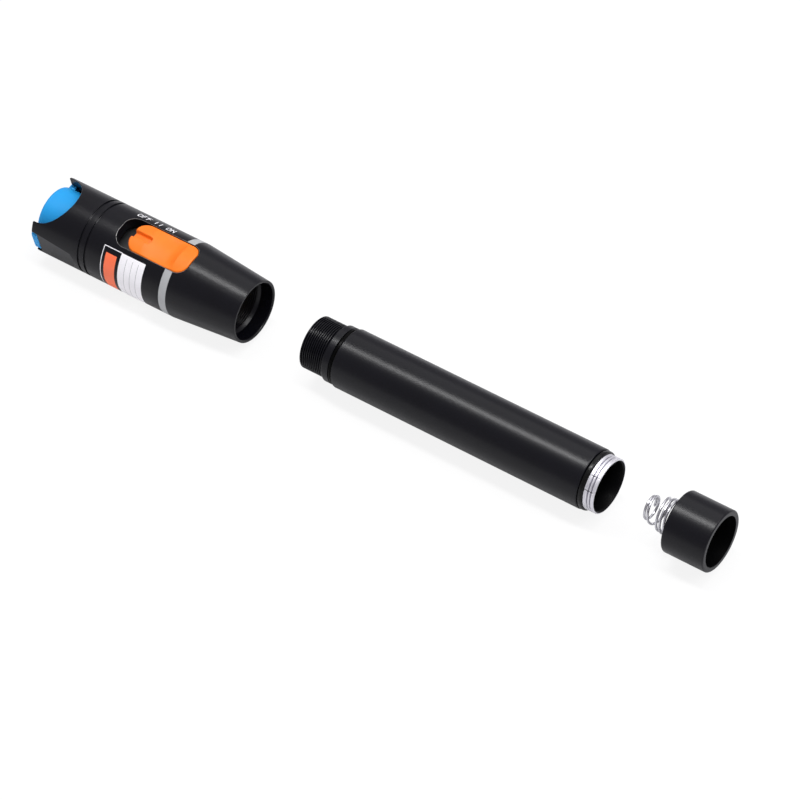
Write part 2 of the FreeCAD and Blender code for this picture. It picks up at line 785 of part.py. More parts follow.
def make_driver_chip():
    """The driver in its moulded case, with four legs on each side, under the board's middle."""
    start = BOARD_FRONT + d.chip_front
    under = -BOARD_TOP
    case = block("chip_case", start, start + d.chip_length, d.chip_width / -2, d.chip_width / 2,
                 under - d.chip_height, under)
    legs = []
    for row in range(4):
        middle = start + d.chip_length / 2 + (row - 1.5) * d.pin_pitch
        legs.append(block("chip_leg_%d" % row, middle - d.pin_width / 2, middle + d.pin_width / 2,
                          d.chip_width / -2 - d.pin_reach, d.chip_width / 2 + d.pin_reach,
                          under - d.pin_width, under))
    return finished(fused("chip_whole", case, *legs), "driver_chip", HEAD_X)


def make_resistors():
    """Four small resistors side by side across the board, behind the chip."""
    start = BOARD_FRONT + d.chip_front + d.chip_length + d.resistor_width
    row = []
    for number in range(4):
        middle = d.resistor_pitch * (number - 1.5)
        row.append(block("resistor_%d" % number, start, start + d.resistor_length, middle - d.resistor_width / 2,
                         middle + d.resistor_width / 2, -BOARD_TOP - d.resistor_height, -BOARD_TOP))
    group = doc.addObject("Part::Compound", "resistor_row")
    group.Links = row
    return finished(group, "resistors", HEAD_X)


def make_capacitor():
    """A can that stands under the board between the diode's lead and the chip."""
    middle = LEAD_REAR + d.end_clearance + d.capacitor_radius
    made = upright("capacitor_can", middle, size(0), -BOARD_TOP - d.capacitor_height, -BOARD_TOP, d.capacitor_radius)
    return finished(common("capacitor_whole", made), "capacitor", HEAD_X)


def make_switch_case():
    """The slide switch's metal case, with the slot that its post moves in."""
    half = d.switch_width / 2
    top = BOARD_TOP + d.switch_height
    play = d.slide_clearance
    front = BUTTON_MIDDLE - d.post_length / 2 - d.button_travel - play
    rear = BUTTON_MIDDLE + d.post_length / 2 + play
    case = block("switch_case_blank", front - d.switch_end_wall, rear + d.switch_end_wall, -half, half, BOARD_TOP, top)
    slot = block("switch_case_slot", front, rear, d.post_width / -2 - play, d.post_width / 2 + play,
                 BOARD_TOP + d.switch_wall, top)
    return finished(cut("switch_case_open", case, slot), "slide_switch_case", HEAD_X)


def make_switch_post():
    """The slide switch's moving post."""
    low = BOARD_TOP + d.switch_wall + d.slide_clearance
    made = block("post_block", BUTTON_MIDDLE - d.post_length / 2, BUTTON_MIDDLE + d.post_length / 2,
                 d.post_width / -2, d.post_width / 2, low, BOARD_TOP + d.switch_height + d.post_height)
    return finished(common("post_whole", made), "slide_switch_post", HEAD_X)


def make_slide_shield():
    """A flat plate under the slot that keeps dust out, with a fork that takes the switch's post along."""
    front = d.slot_front - d.shield_lap
    half = d.shield_half_width
    plate = block("shield_plate", front, SHIELD_REAR, -half, half, SHIELD_BOTTOM, d.shield_top)
    low = BOARD_TOP + d.switch_height + d.slide_clearance
    half = d.fork_width / 2
    prongs = []
    for name, end in (("fork_front", BUTTON_MIDDLE - d.post_length / 2 - d.fork_wall - d.seat_clearance),
                      ("fork_rear", BUTTON_MIDDLE + d.post_length / 2 + d.seat_clearance)):
        prongs.append(block(name, end, end + d.fork_wall, -half, half, low, SHIELD_BOTTOM))
    return finished(fused("shield_whole", plate, *prongs), "slide_shield", HEAD_X)


def make_switch_button():
    """The orange button, level with the head's surface, with a finger dish and a mark groove in its front."""
    front, rear = BUTTON_FRONT, BUTTON_REAR
    half = BUTTON_WIDTH / 2
    body = doc.addObject("PartDesign::Body", "button_block")
    plan = new_sketch(body, "button_plan", "XY_Plane", d.shield_top)
    rounded_outline(plan, front, rear, -half, half, d.slot_corner - d.button_side_gap)
    padded(body, "button_pad", plan, d.button_top_radius - d.shield_top)
    skin = rod("button_skin", front, rear, d.button_top_radius)
    crowned = common("button_crowned", body, skin)
    dish_floor = d.button_top_radius - d.dish_depth
    dish = crossways("button_dish", front + d.dish_middle, dish_floor + d.dish_radius, half + d.edge_break, d.dish_radius)
    groove = block("button_mark", front, front + d.mark_groove_length, d.mark_groove_width / -2,
                   d.mark_groove_width / 2, d.button_top_radius - d.mark_groove_depth, d.button_top_radius)
    shaped = cut("button_shaped", crowned, fused("button_cuts", dish, groove))
    return finished(shaped, "switch_button", HEAD_X)


def make_contact_insulator():
    """The moulded disc that closes the carrier and keeps the middle contact off the ring."""
    rear = INSULATOR_FRONT + d.insulator_thickness
    body = turned("contact_insulator", [
        (INSULATOR_FRONT, d.contact_stem_radius + d.seat_clearance),
        (INSULATOR_FRONT, d.carrier_radius),
        (rear, d.carrier_radius),
        (rear, d.contact_stem_radius + d.seat_clearance),
    ])
    return finished(body, "contact_insulator", HEAD_X)


def make_middle_contact():
    """The contact for the front cell's cap, whose stem reaches back to the board's end."""
    head_front = INSULATOR_FRONT + d.insulator_thickness
    head_rear = head_front + d.contact_head_length
    body = turned("middle_contact", [
        (BOARD_REAR, 0),
        (BOARD_REAR, d.contact_stem_radius),
        (head_front, d.contact_stem_radius),
        (head_front, d.contact_head_radius),
        (head_rear - d.edge_break, d.contact_head_radius),
        (head_rear, d.contact_head_radius - d.edge_break),
        (head_rear, 0),
    ])
    return finished(body, "middle_contact", HEAD_X)


def make_contact_ring():
    """The threaded brass ring that holds the carrier in and meets the tube's front end."""
    body = turned("contact_ring", [
        (RING_FRONT, d.ring_inner_radius),
        (RING_FRONT, d.front_thread_radius),
        (RING_FRONT + d.ring_thickness, d.front_thread_radius),
        (RING_FRONT + d.ring_thickness, d.ring_inner_radius),
    ])
    notches = new_sketch(body, "ring_notch_outline", "XY_Plane")
    half = d.ring_notch_width / 2
    for sign in (1, -1):
        low, high = (d.ring_inner_radius - d.edge_break, d.ring_inner_radius + d.ring_notch_depth)
        if sign < 0:
            low, high = -high, -low
        box_outline(notches, RING_FRONT - d.edge_break, RING_FRONT + d.ring_thickness + d.edge_break, low, high)
    pocketed(body, "ring_notches", notches, length=2 * half, both_ways=True)
    return finished(body, "contact_ring", HEAD_X)


def make_battery_tube():
    """The long tube: a threaded nose with a collar and seal groove, the body, a seal neck and the bare rear ring."""
    collar_start = d.front_thread_length
    groove_start = collar_start + d.collar_length
    body_start = groove_start + d.front_seal_width
    body_end = body_start + d.tube_body_length
    ring_start = body_end + d.rear_seal_width
    lead = d.collar_radius - d.front_thread_radius
    body = turned("battery_tube", [
        (0, d.tube_bore_radius),
        (0, d.front_thread_radius - d.edge_break),
        (d.edge_break, d.front_thread_radius),
        (collar_start, d.front_thread_radius),
        (collar_start + lead, d.collar_radius),
        (groove_start, d.collar_radius),
        (groove_start, d.seal_floor_radius),
        (body_start, d.seal_floor_radius),
        (body_start, d.tube_radius - d.edge_break),
        (body_start + d.edge_break, d.tube_radius),
        (body_end - d.tube_edge_break, d.tube_radius),
        (body_end, d.tube_radius - d.tube_edge_break / 2),
        (body_end, d.seal_floor_radius),
        (ring_start, d.seal_floor_radius),
        (ring_start, d.rear_thread_radius - d.edge_break),
        (ring_start + d.edge_break, d.rear_thread_radius),
        (TUBE_LENGTH - d.edge_break, d.rear_thread_radius),
        (TUBE_LENGTH, d.rear_thread_radius - d.edge_break),
        (TUBE_LENGTH, d.mouth_radius),
        (TUBE_LENGTH - d.mouth_depth, d.tube_bore_radius),
    ])
    return finished(body, "battery_tube", TUBE_X, rolled=False)


def make_seal(label, station):
    """A rubber seal ring on the tube's seal floor, its round section drawn with eight sides."""
    half = d.seal_section / 2
    corner = half * math.tan(math.pi / 8)
    middle = d.seal_floor_radius + half
    steps = [(-corner, -half), (corner, -half), (half, -corner), (half, corner),
             (corner, half), (-corner, half), (-half, corner), (-half, -corner)]
    body = turned(label, [(station + along, middle + across) for along, across in steps])
    return finished(body, label, TUBE_X, rolled=False)


def make_tail_cap():
    """The turned tail cap: seal bore, threaded bore and web at the front, an open recess at the rear."""
    lip = (d.cap_radius - SEAL_BORE) / 2
    body = turned("tail_cap", [
        (0, SEAL_BORE),
        (0, d.cap_radius - lip),
        (lip, d.cap_radius),
        (d.cap_length - d.cap_rear_bevel, d.cap_radius),
        (d.cap_length, d.cap_radius - d.cap_rear_bevel),
        (d.cap_length, d.recess_radius),
        (CAP_WEB_REAR, d.recess_radius),
        (CAP_WEB_REAR, d.screw_radius),
        (DISC_REAR, d.screw_radius),
        (DISC_REAR, CAP_BORE),
        (CAP_SEAL_DEPTH, CAP_BORE),
        (CAP_SEAL_DEPTH, SEAL_BORE),
    ])
    return finished(body, "tail_cap", CAP_X, rolled=False)


def make_contact_disc():
    """The plated disc on the cap's web, with the boss that the spring's base is pressed over."""
    boss_front = DISC_FRONT - d.boss_height
    hole = d.screw_radius + d.seat_clearance
    body = turned("contact_disc", [
        (boss_front, hole),
        (boss_front, d.boss_radius),
        (DISC_FRONT, d.boss_radius),
        (DISC_FRONT, CAP_BORE - d.seat_clearance),
        (DISC_REAR, CAP_BORE - d.seat_clearance),
        (DISC_REAR, hole),
    ])
    return finished(body, "contact_disc", CAP_X, rolled=False)


def make_disc_screw():
    """The screw that holds the disc on the web, its head inside the spring."""
    seat = DISC_FRONT - d.boss_height
    head_front = seat - d.screw_head_height
    body = turned("disc_screw", [
        (head_front, 0),
        (head_front, d.screw_head_radius - d.edge_break),
        (head_front + d.edge_break, d.screw_head_radius),
        (seat, d.screw_head_radius),
        (seat, d.screw_radius),
        (CAP_WEB_REAR, d.screw_radius),
        (CAP_WEB_REAR, 0),
    ])
    slot = new_sketch(body, "driver_slot_outline", "XY_Plane")
    half = d.edge_break
    box_outline(slot, head_front - d.edge_break, head_front + d.screw_head_height / 2, -half, half)
    pocketed(body, "driver_slot", slot, both_ways=True)
    return finished(body, "disc_screw", CAP_X, rolled=False)


# The spring's turns from its base to its tip, and the pitch of each stretch against the others
SPRING_STRETCHES = ((1.0, 0.85), (2.0, 3.1), (2.1, 1.35), (1.0, 4.2), (1.4, 0.8))
SPRING_TIP_ANGLE = -0.7
SPRING_POINTS_PER_TURN = 8
WIRE_SIDES = 8


def make_tail_spring():
    """A wire coiled on a barrel: close turns at the base, the middle and the tip, open turns between them.

    A point's station moves forward by its stretch's pitch, and its radius falls with that rise to the power 2.5.
    The wire's round section is drawn with eight sides.
    """
    wire = d.wire_radius.value
    base_radius = d.boss_radius.value + wire + d.seat_clearance.value
    tip_radius = d.spring_tip_radius.value - wire
    base_station = DISC_FRONT.value - wire
    tip_station = wire - d.spring_reach.value
    turns = sum(count for count, _ in SPRING_STRETCHES)
    rise = sum(count * pitch for count, pitch in SPRING_STRETCHES)
    points = []
    for step in range(round(turns * SPRING_POINTS_PER_TURN) + 1):
        turn = turns * step / round(turns * SPRING_POINTS_PER_TURN)
        height, left = 0.0, turn
        for count, pitch in SPRING_STRETCHES:
            height += min(left, count) * pitch / rise
            left = max(left - count, 0.0)
        radius = base_radius + (tip_radius - base_radius) * height ** 2.5
        angle = SPRING_TIP_ANGLE + 2 * math.pi * (turns - turn)
        station = base_station + (tip_station - base_station) * height
        points.append(Vector(station, radius * math.cos(angle), radius * math.sin(angle)))
    line = Part.BSplineCurve()
    line.interpolate(points)
    along = line.tangent(line.FirstParameter)[0]
    outwards = Vector(0, points[0].y, points[0].z).normalize()
    across = along.cross(outwards).normalize()
    outwards = across.cross(along).normalize()
    corners = []
    for side in range(WIRE_SIDES + 1):
        angle = math.pi * (2 * side + 1) / WIRE_SIDES
        corners.append(points[0] + (outwards * math.cos(angle) + across * math.sin(angle)) * wire)
    coil = doc.addObject("Part::Feature", "tail_spring")
    coil.Shape = Part.Wire([line.toShape()]).makePipeShell([Part.makePolygon(corners)], True, True)
    return finished(coil, "tail_spring", CAP_X, rolled=False)


make_head_shell()
make_dust_cap()
make_ferrule_adapter()
make_adapter_lock_ring()
make_ferrule_sleeve()
make_laser_housing()
make_lens()
make_lens_ring()
make_laser_diode()
make_clamp_ring()
make_inner_carrier()
make_circuit_board()
make_board_screws()
make_driver_chip()
make_resistors()
make_capacitor()
make_switch_case()
make_switch_post()
make_slide_shield()
make_switch_button()
make_contact_insulator()
make_middle_contact()
make_contact_ring()
make_battery_tube()
make_seal("front_seal", d.front_thread_length + d.collar_length + d.front_seal_width / 2)
make_seal("rear_seal", TUBE_LENGTH - d.rear_thread_length - d.rear_seal_width / 2)
make_tail_cap()
make_contact_disc()
make_disc_screw()
make_tail_spring()
doc.recompute()

for thing in doc.Objects:
    if "Invalid" in thing.State or "Error" in thing.State:
        raise RuntimeError("%s failed: %s" % (thing.Name, thing.State))

os.makedirs("parts", exist_ok=True)
for subpart in subparts:
    shape = subpart.Shape
    if shape.isNull() or not shape.isValid() or not shape.Solids:
        raise RuntimeError("%s has no valid solid" % subpart.Label)
    shape.exportStep("parts/%s.step" % subpart.Label)
    box = shape.BoundBox
    print("%-20s %2d solids %9.2f mm3  x %7.2f %7.2f  y %6.2f %6.2f  z %6.2f %6.2f" % (
        subpart.Label, len(shape.Solids), shape.Volume, box.XMin, box.XMax, box.YMin, box.YMax, box.ZMin, box.ZMax))
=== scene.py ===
"""The looks of a visual fault locator pen, unscrewed into its head, battery tube and tail cap.

Each new piece is worked out on a grid in millimetres in its group's own frame: x runs back along the pen's
axis from the group's front end, and the angle around the axis is 0 at the group's top and grows towards its
left, the -Y side.
"""
import math

import bmesh
import bpy
import numpy as np
from mathutils import Matrix, Vector


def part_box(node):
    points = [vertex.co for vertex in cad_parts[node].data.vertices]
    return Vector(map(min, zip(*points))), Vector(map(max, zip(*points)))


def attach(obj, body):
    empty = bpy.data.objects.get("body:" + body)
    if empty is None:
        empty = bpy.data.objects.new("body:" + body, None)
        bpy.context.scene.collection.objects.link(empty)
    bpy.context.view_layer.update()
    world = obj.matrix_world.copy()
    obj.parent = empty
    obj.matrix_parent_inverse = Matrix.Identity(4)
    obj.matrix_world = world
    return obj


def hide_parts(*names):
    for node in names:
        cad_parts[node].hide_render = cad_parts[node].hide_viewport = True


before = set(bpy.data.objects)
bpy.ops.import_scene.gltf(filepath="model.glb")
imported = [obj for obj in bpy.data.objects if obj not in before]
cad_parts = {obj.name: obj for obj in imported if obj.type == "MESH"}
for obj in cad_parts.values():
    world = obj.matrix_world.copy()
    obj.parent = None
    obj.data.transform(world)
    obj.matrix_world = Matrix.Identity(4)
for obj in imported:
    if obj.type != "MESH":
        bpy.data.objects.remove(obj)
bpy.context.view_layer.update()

MM = 0.001
TURN = 2 * math.pi


def mm_box(node):
    """A node's lowest and highest corners in millimetres."""
    low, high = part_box(node)
    return np.array(low) / MM, np.array(high) / MM


# Where the three groups start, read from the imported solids
AXIS_HEIGHT = float(sum(corner[2] for corner in mm_box("battery_tube")) / 2)
HEAD_START = float(mm_box("head_shell")[0][0])
TUBE_START = float(mm_box("battery_tube")[0][0])
CAP_START = float(mm_box("tail_cap")[0][0])
HEAD_ROLL = math.radians(13.5)
GROUPS = {"head": (HEAD_START, HEAD_ROLL), "tube": (TUBE_START, 0.0), "cap": (CAP_START, 0.0)}

# Sizes in millimetres, as the solids have them
HEAD_RADIUS, HEAD_BORE = 12.9, 9.0
SEAL_BORE, SEAL_BORE_START = 9.8, 75.3
TUBE_LENGTH, TUBE_RADIUS, TUBE_BORE = 109.6, 10.0, 7.6
CAP_LENGTH, CAP_RADIUS, RECESS_RADIUS = 14.8, 10.24, 8.45
SKIN_RADIUS = HEAD_RADIUS - 0.01

# Angles round a turned piece, with finer ones on the tube at the two nicks of its rear thread
ROUND = np.linspace(0, TURN, 192, endpoint=False)
NICK_ANGLES = np.radians([35.5, 66.3])
TUBE_ROUND = np.unique(np.concatenate(
    [ROUND] + [angle + np.linspace(-0.035, 0.035, 15) for angle in NICK_ANGLES]))


# Colours and materials

def linear(code):
    """An sRGB hex code as a linear colour with alpha."""
    parts = [int(code[start:start + 2], 16) / 255 for start in (1, 3, 5)]
    lit = [part / 12.92 if part <= 0.04045 else ((part + 0.055) / 1.055) ** 2.4 for part in parts]
    return (*lit, 1.0)


def add(tree, kind, inputs=None, **settings):
    """Adds a node, sets its properties, and gives each named or numbered input its value or its link."""
    made = tree.nodes.new(kind)
    for name, value in settings.items():
        setattr(made, name, value)
    for name, value in (inputs or {}).items():
        if isinstance(value, bpy.types.NodeSocket):
            tree.links.new(value, made.inputs[name])
        else:
            made.inputs[name].default_value = value
    return made


def start_material(name):
    """An empty material with a Principled shader joined to its output, and the Object coordinates."""
    material = bpy.data.materials.new(name)
    material.use_nodes = True
    tree = material.node_tree
    tree.nodes.clear()
    shader = add(tree, "ShaderNodeBsdfPrincipled")
    add(tree, "ShaderNodeOutputMaterial", {"Surface": shader.outputs[0]})
    place = add(tree, "ShaderNodeTexCoord").outputs["Object"]
    return material, tree, shader, place


def grain(tree, place, per_mm):
    """Noise with about that many grains to the millimetre."""
    noise = add(tree, "ShaderNodeTexNoise", {"Vector": place, "Scale": per_mm / MM, "Detail": 2.0})
    return noise.outputs[0]


def between(tree, value, low, high):
    """A number from low to high as value runs from 0.3 to 0.7, where noise mostly lies."""
    return add(tree, "ShaderNodeMapRange", {0: value, 1: 0.3, 2: 0.7, 3: low, 4: high}).outputs[0]


def blend(tree, amount, first, second):
    """One colour over another by amount."""
    mix = add(tree, "ShaderNodeMix", data_type="RGBA")
    tree.links.new(amount, mix.inputs["Factor"])
    for name, value in (("A", first), ("B", second)):
        socket = next(item for item in mix.inputs if item.name == name and item.type == "RGBA")
        if isinstance(value, bpy.types.NodeSocket):
            tree.links.new(value, socket)
        else:
            socket.default_value = value
    return next(item for item in mix.outputs if item.type == "RGBA")


def relief(tree, shader, height, depth_mm):
    """Fine bumps as deep as the tool or the mould left them."""
    bump = add(tree, "ShaderNodeBump", {"Height": height, "Distance": depth_mm * MM, "Strength": 1.0})
    tree.links.new(bump.outputs[0], shader.inputs["Normal"])


def make_black_anodised():
    """Aluminium, bead-blasted and dyed black: a soft, broad sheen with no visible grain from arm's length."""
    material, tree, shader, place = start_material("black_anodised_aluminium")
    fine = grain(tree, place, 6.0)
    patch = grain(tree, place, 0.12)
    tree.links.new(blend(tree, patch, linear("#050509"), linear("#08080F")), shader.inputs["Base Color"])
    tree.links.new(between(tree, fine, 0.27, 0.35), shader.inputs["Roughness"])
    shader.inputs["Specular IOR Level"].default_value = 0.28
    relief(tree, shader, fine, 0.004)
    return material


def make_painted_edge_highlight():
    """Painted highlight on the slot's softened edge: a fine grey line, paler than the dye."""
    material, tree, shader, place = start_material("slot_edge_painted_highlight")
    # Noise varies the grey of the painted highlight
    highlight_grain = grain(tree, place, 1.2)
    tree.links.new(blend(tree, highlight_grain, linear("#5C5C5C"), linear("#A09F9C")), shader.inputs["Base Color"])
    shader.inputs["Metallic"].default_value = 0.4
    shader.inputs["Roughness"].default_value = 0.35
    return material


def make_bore_black():
    """The same dye in a bore that was only reamed: darker, with fine tool rings along the axis."""
    material, tree, shader, place = start_material("reamed_black_anodised_bore")
    rings = add(tree, "ShaderNodeTexWave", {"Vector": place, "Scale": 3.0 / MM / TURN, "Distortion": 0.4},
                bands_direction="X").outputs[1]
    shader.inputs["Base Color"].default_value = linear("#050506")
    tree.links.new(between(tree, rings, 0.4, 0.52), shader.inputs["Roughness"])
    shader.inputs["Specular IOR Level"].default_value = 0.1
    relief(tree, shader, rings, 0.006)
    return material


def make_bare_aluminium():
    """Turned aluminium left bare: bright, with tool rings round the axis that stretch its highlights."""
    material, tree, shader, place = start_material("bare_turned_aluminium")
    rings = add(tree, "ShaderNodeTexWave", {"Vector": place, "Scale": 8.0 / MM / TURN, "Distortion": 1.2,
                                            "Detail": 2.0}, bands_direction="X").outputs[1]
    patch = grain(tree, place, 0.8)
    tree.links.new(blend(tree, patch, linear("#E4E3E8"), linear("#F0EFF3")), shader.inputs["Base Color"])
    shader.inputs["Metallic"].default_value = 1.0
    tree.links.new(between(tree, rings, 0.46, 0.56), shader.inputs["Roughness"])
    relief(tree, shader, rings, 0.003)
    return material


def make_blue_rubber():
    """Moulded blue silicone rubber: smooth, slightly glossy, letting a little light into its skin."""
    material, tree, shader, place = start_material("moulded_blue_silicone")
    patch = grain(tree, place, 0.25)
    fine = grain(tree, place, 5.0)
    tree.links.new(blend(tree, patch, linear("#178DCE"), linear("#1E94D5")), shader.inputs["Base Color"])
    tree.links.new(between(tree, fine, 0.48, 0.56), shader.inputs["Roughness"])
    shader.inputs["Specular IOR Level"].default_value = 0.3
    shader.inputs["Subsurface Weight"].default_value = 0.08
    shader.inputs["Subsurface Radius"].default_value = (0.0006, 0.0012, 0.002)
    relief(tree, shader, fine, 0.006)
    return material


def make_orange_plastic():
    """Moulded orange ABS with a fine spark-eroded texture that scatters its highlights."""
    material, tree, shader, place = start_material("moulded_orange_abs")
    patch = grain(tree, place, 0.3)
    fine = grain(tree, place, 4.0)
    tree.links.new(blend(tree, patch, linear("#E86E12"), linear("#EE771B")), shader.inputs["Base Color"])
    tree.links.new(between(tree, fine, 0.46, 0.56), shader.inputs["Roughness"])
    shader.inputs["Specular IOR Level"].default_value = 0.3
    relief(tree, shader, fine, 0.008)
    return material


def make_black_plastic():
    """Moulded black ABS of the inner parts: matte, with a faint grain."""
    material, tree, shader, place = start_material("moulded_black_abs")
    fine = grain(tree, place, 3.0)
    tree.links.new(blend(tree, fine, linear("#101012"), linear("#18181A")), shader.inputs["Base Color"])
    tree.links.new(between(tree, fine, 0.5, 0.62), shader.inputs["Roughness"])
    relief(tree, shader, fine, 0.01)
    return material


def make_black_rubber(name, specular):
    """Nitrile rubber of the seal rings: dry it is deep black, and greased it catches a line of light."""
    material, tree, shader, place = start_material(name)
    fine = grain(tree, place, 2.0)
    shader.inputs["Base Color"].default_value = linear("#040404")
    tree.links.new(between(tree, fine, 0.22, 0.32), shader.inputs["Roughness"])
    shader.inputs["Specular IOR Level"].default_value = specular
    relief(tree, shader, fine, 0.006)
    return material


def make_metal(name, dark, light, rough_low, rough_high, per_mm):
    """A bright metal whose tone and polish drift a little over its surface."""
    material, tree, shader, place = start_material(name)
    patch = grain(tree, place, per_mm)
    tree.links.new(blend(tree, patch, linear(dark), linear(light)), shader.inputs["Base Color"])
    shader.inputs["Metallic"].default_value = 1.0
    tree.links.new(between(tree, patch, rough_low, rough_high), shader.inputs["Roughness"])
    relief(tree, shader, patch, 0.004)
    return material


def make_solder_mask():
    """Green solder mask over copper: glossy, darker where no copper lies under it."""
    material, tree, shader, place = start_material("green_solder_mask")
    tracks = add(tree, "ShaderNodeTexBrick", {"Vector": place, "Scale": 0.4 / MM, "Color1": linear("#0E5A34"),
                                              "Color2": linear("#0B4A2A"), "Mortar": linear("#083820"),
                                              "Mortar Size": 0.06}).outputs[0]
    tree.links.new(tracks, shader.inputs["Base Color"])
    shader.inputs["Roughness"].default_value = 0.3
    return material


def make_ceramic():
    """Ground zirconia: white, dense and polished."""
    material, tree, shader, place = start_material("ground_zirconia")
    fine = grain(tree, place, 2.0)
    tree.links.new(blend(tree, fine, linear("#E6E5E0"), linear("#F0EFEA")), shader.inputs["Base Color"])
    shader.inputs["Roughness"].default_value = 0.18
    shader.inputs["IOR"].default_value = 2.1
    return material


def make_lens_glass():
    """Polished optical glass of the lens: clear, with a hard bright reflection."""
    material, _, shader, _ = start_material("polished_optical_glass")
    shader.inputs["Base Color"].default_value = linear("#F4F6FA")
    shader.inputs["Transmission Weight"].default_value = 1.0
    shader.inputs["Roughness"].default_value = 0.02
    shader.inputs["IOR"].default_value = 1.5
    return material


def make_ink(name, dark, light):
    """Pad-printed ink: an even, slightly rough film."""
    material, tree, shader, place = start_material(name)
    fine = grain(tree, place, 2.5)
    tree.links.new(blend(tree, fine, linear(dark), linear(light)), shader.inputs["Base Color"])
    shader.inputs["Roughness"].default_value = 0.45
    return material


ANODISED = make_black_anodised()
# Painted highlight for the slot's softened edge
EDGE_HIGHLIGHT = make_painted_edge_highlight()
BORE = make_bore_black()
BARE = make_bare_aluminium()
BLUE = make_blue_rubber()
ORANGE = make_orange_plastic()
PLASTIC = make_black_plastic()
DRY_RUBBER = make_black_rubber("dry_nitrile_rubber", 0.05)
GREASED_RUBBER = make_black_rubber("greased_nitrile_rubber", 0.25)

# Bright wire, whose round back carries a clean line of light
SPRING_WIRE = make_metal("nickelled_spring_wire", "#C6C6CA", "#DEDEE2", 0.24, 0.32, 1.5)
# The floor of a cut thread, a little rougher than the crests beside it and painted darker as the shade in its
# groove, so that the turns read as dark lines
ROOT_SHADE = make_metal("aluminium_thread_root_painted_shade", "#85838C", "#9492A0", 0.5, 0.6, 2.0)
# Zinc plate: cool grey and softly mirrored
STEEL = make_metal("zinc_plated_steel", "#9C9DA0", "#B9BABD", 0.3, 0.42, 2.0)
# Nickel plate: bright, with a warm cast
NICKEL = make_metal("nickel_plated_brass", "#BDB8AE", "#D2CDC3", 0.2, 0.3, 2.0)
# Turned brass: yellow, with soft highlights
BRASS = make_metal("turned_brass", "#B88A3E", "#D2A552", 0.25, 0.36, 2.5)
# Gold plate: deep yellow and nearly a mirror
GOLD = make_metal("gold_plated_contact", "#D9A441", "#EBC063", 0.18, 0.28, 2.5)

MASK = make_solder_mask()
CERAMIC = make_ceramic()
GLASS = make_lens_glass()
WHITE_INK = make_ink("white_pad_print", "#E2E1E4", "#F2F1F4")
GREY_INK = make_ink("grey_pad_print", "#9A9C9D", "#A8AAAB")
ORANGE_INK = make_ink("orange_pad_print", "#F0673A", "#F87548")


# Meshes from grids

def in_row(points, group):
    """Points of a group's own frame, rolled about the axis with it and moved to its place in the row."""
    start, roll = GROUPS[group]
    x, y, z = np.moveaxis(np.asarray(points, float), -1, 0)
    turned_y = y * math.cos(roll) - z * math.sin(roll)
    turned_z = y * math.sin(roll) + z * math.cos(roll)
    return np.stack([x + start, turned_y, turned_z + AXIS_HEIGHT], -1) * MM


def around(x, r, angle):
    """Points at station x, radius r and angle around the axis."""
    x, r, angle = np.broadcast_arrays(x, r, angle)
    return np.stack([x, -r * np.sin(angle), r * np.cos(angle)], -1)


def grid_faces(rows, columns, wrap_rows, wrap_columns):
    """The four corners of each face of a grid, joined end to end where it wraps."""
    index = np.arange(rows * columns).reshape(rows, columns)
    if wrap_columns:
        index = np.concatenate([index, index[:, :1]], 1)
    if wrap_rows:
        index = np.concatenate([index, index[:1]], 0)
    corners = [index[:-1, :-1], index[:-1, 1:], index[1:, 1:], index[1:, :-1]]
    return np.stack(corners, -1).reshape(-1, 4)


def finish_piece(name, mesh, body, material, sharp):
    """Puts a mesh into the scene as a smooth piece on a body, with its one or more materials."""
    for each in material if isinstance(material, (list, tuple)) else [material]:
        mesh.materials.append(each)
    mesh.polygons.foreach_set("use_smooth", np.ones(len(mesh.polygons), bool))
    mesh.set_sharp_from_angle(angle=math.radians(sharp))
    piece = bpy.data.objects.new(name, mesh)
    bpy.context.scene.collection.objects.link(piece)
    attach(piece, body)
    return piece


def make_piece(name, points, faces, body, material, sharp=35.0, face_materials=None, closed=True):
    """A piece from points and faces. Its poles and seams are merged, and if closed it is turned outwards."""
    mesh = bpy.data.meshes.new(name)
    mesh.from_pydata(np.asarray(points).reshape(-1, 3), [], np.asarray(faces).tolist())
    if face_materials is not None:
        mesh.polygons.foreach_set("material_index", np.asarray(face_materials, np.int32))
    work = bmesh.new()
    work.from_mesh(mesh)
    bmesh.ops.remove_doubles(work, verts=work.verts, dist=1e-7)
    if closed:
        bmesh.ops.recalc_face_normals(work, faces=work.faces)
    work.to_mesh(mesh)
    work.free()
    return finish_piece(name, mesh, body, material, sharp)


def softened(corners, radius, steps=4):
    """A closed outline of (station, radius) corners with each corner worked into a small curve.

    Each corner gives way to a quadratic curve between points at the given distance along its two runs, at
    most 0.4 of a run. One more point beside each end of the curve keeps the shading of long runs flat.
    """
    corners = np.asarray(corners, float)
    back = np.roll(corners, 1, 0) - corners
    on = np.roll(corners, -1, 0) - corners
    back_length = np.linalg.norm(back, axis=1)
    on_length = np.linalg.norm(on, axis=1)
    reach = np.minimum(radius, 0.4 * np.minimum(back_length, on_length))[:, None]
    back = back / back_length[:, None]
    on = on / on_length[:, None]
    share = np.linspace(0, 1, steps)[None, :, None]
    first, last = (corners + back * reach)[:, None], (corners + on * reach)[:, None]
    curve = (1 - share) ** 2 * first + 2 * share * (1 - share) * corners[:, None] + share ** 2 * last
    before = (corners + back * reach * 1.2)[:, None]
    after = (corners + on * reach * 1.2)[:, None]
    return np.concatenate([before, curve, after], 1).reshape(-1, 2)


def rows_of(outline, angles=ROUND):
    """Rows of (station, radius) that are the same all round."""
    return np.broadcast_to(np.asarray(outline, float)[:, None, :], (len(outline), len(angles), 2))


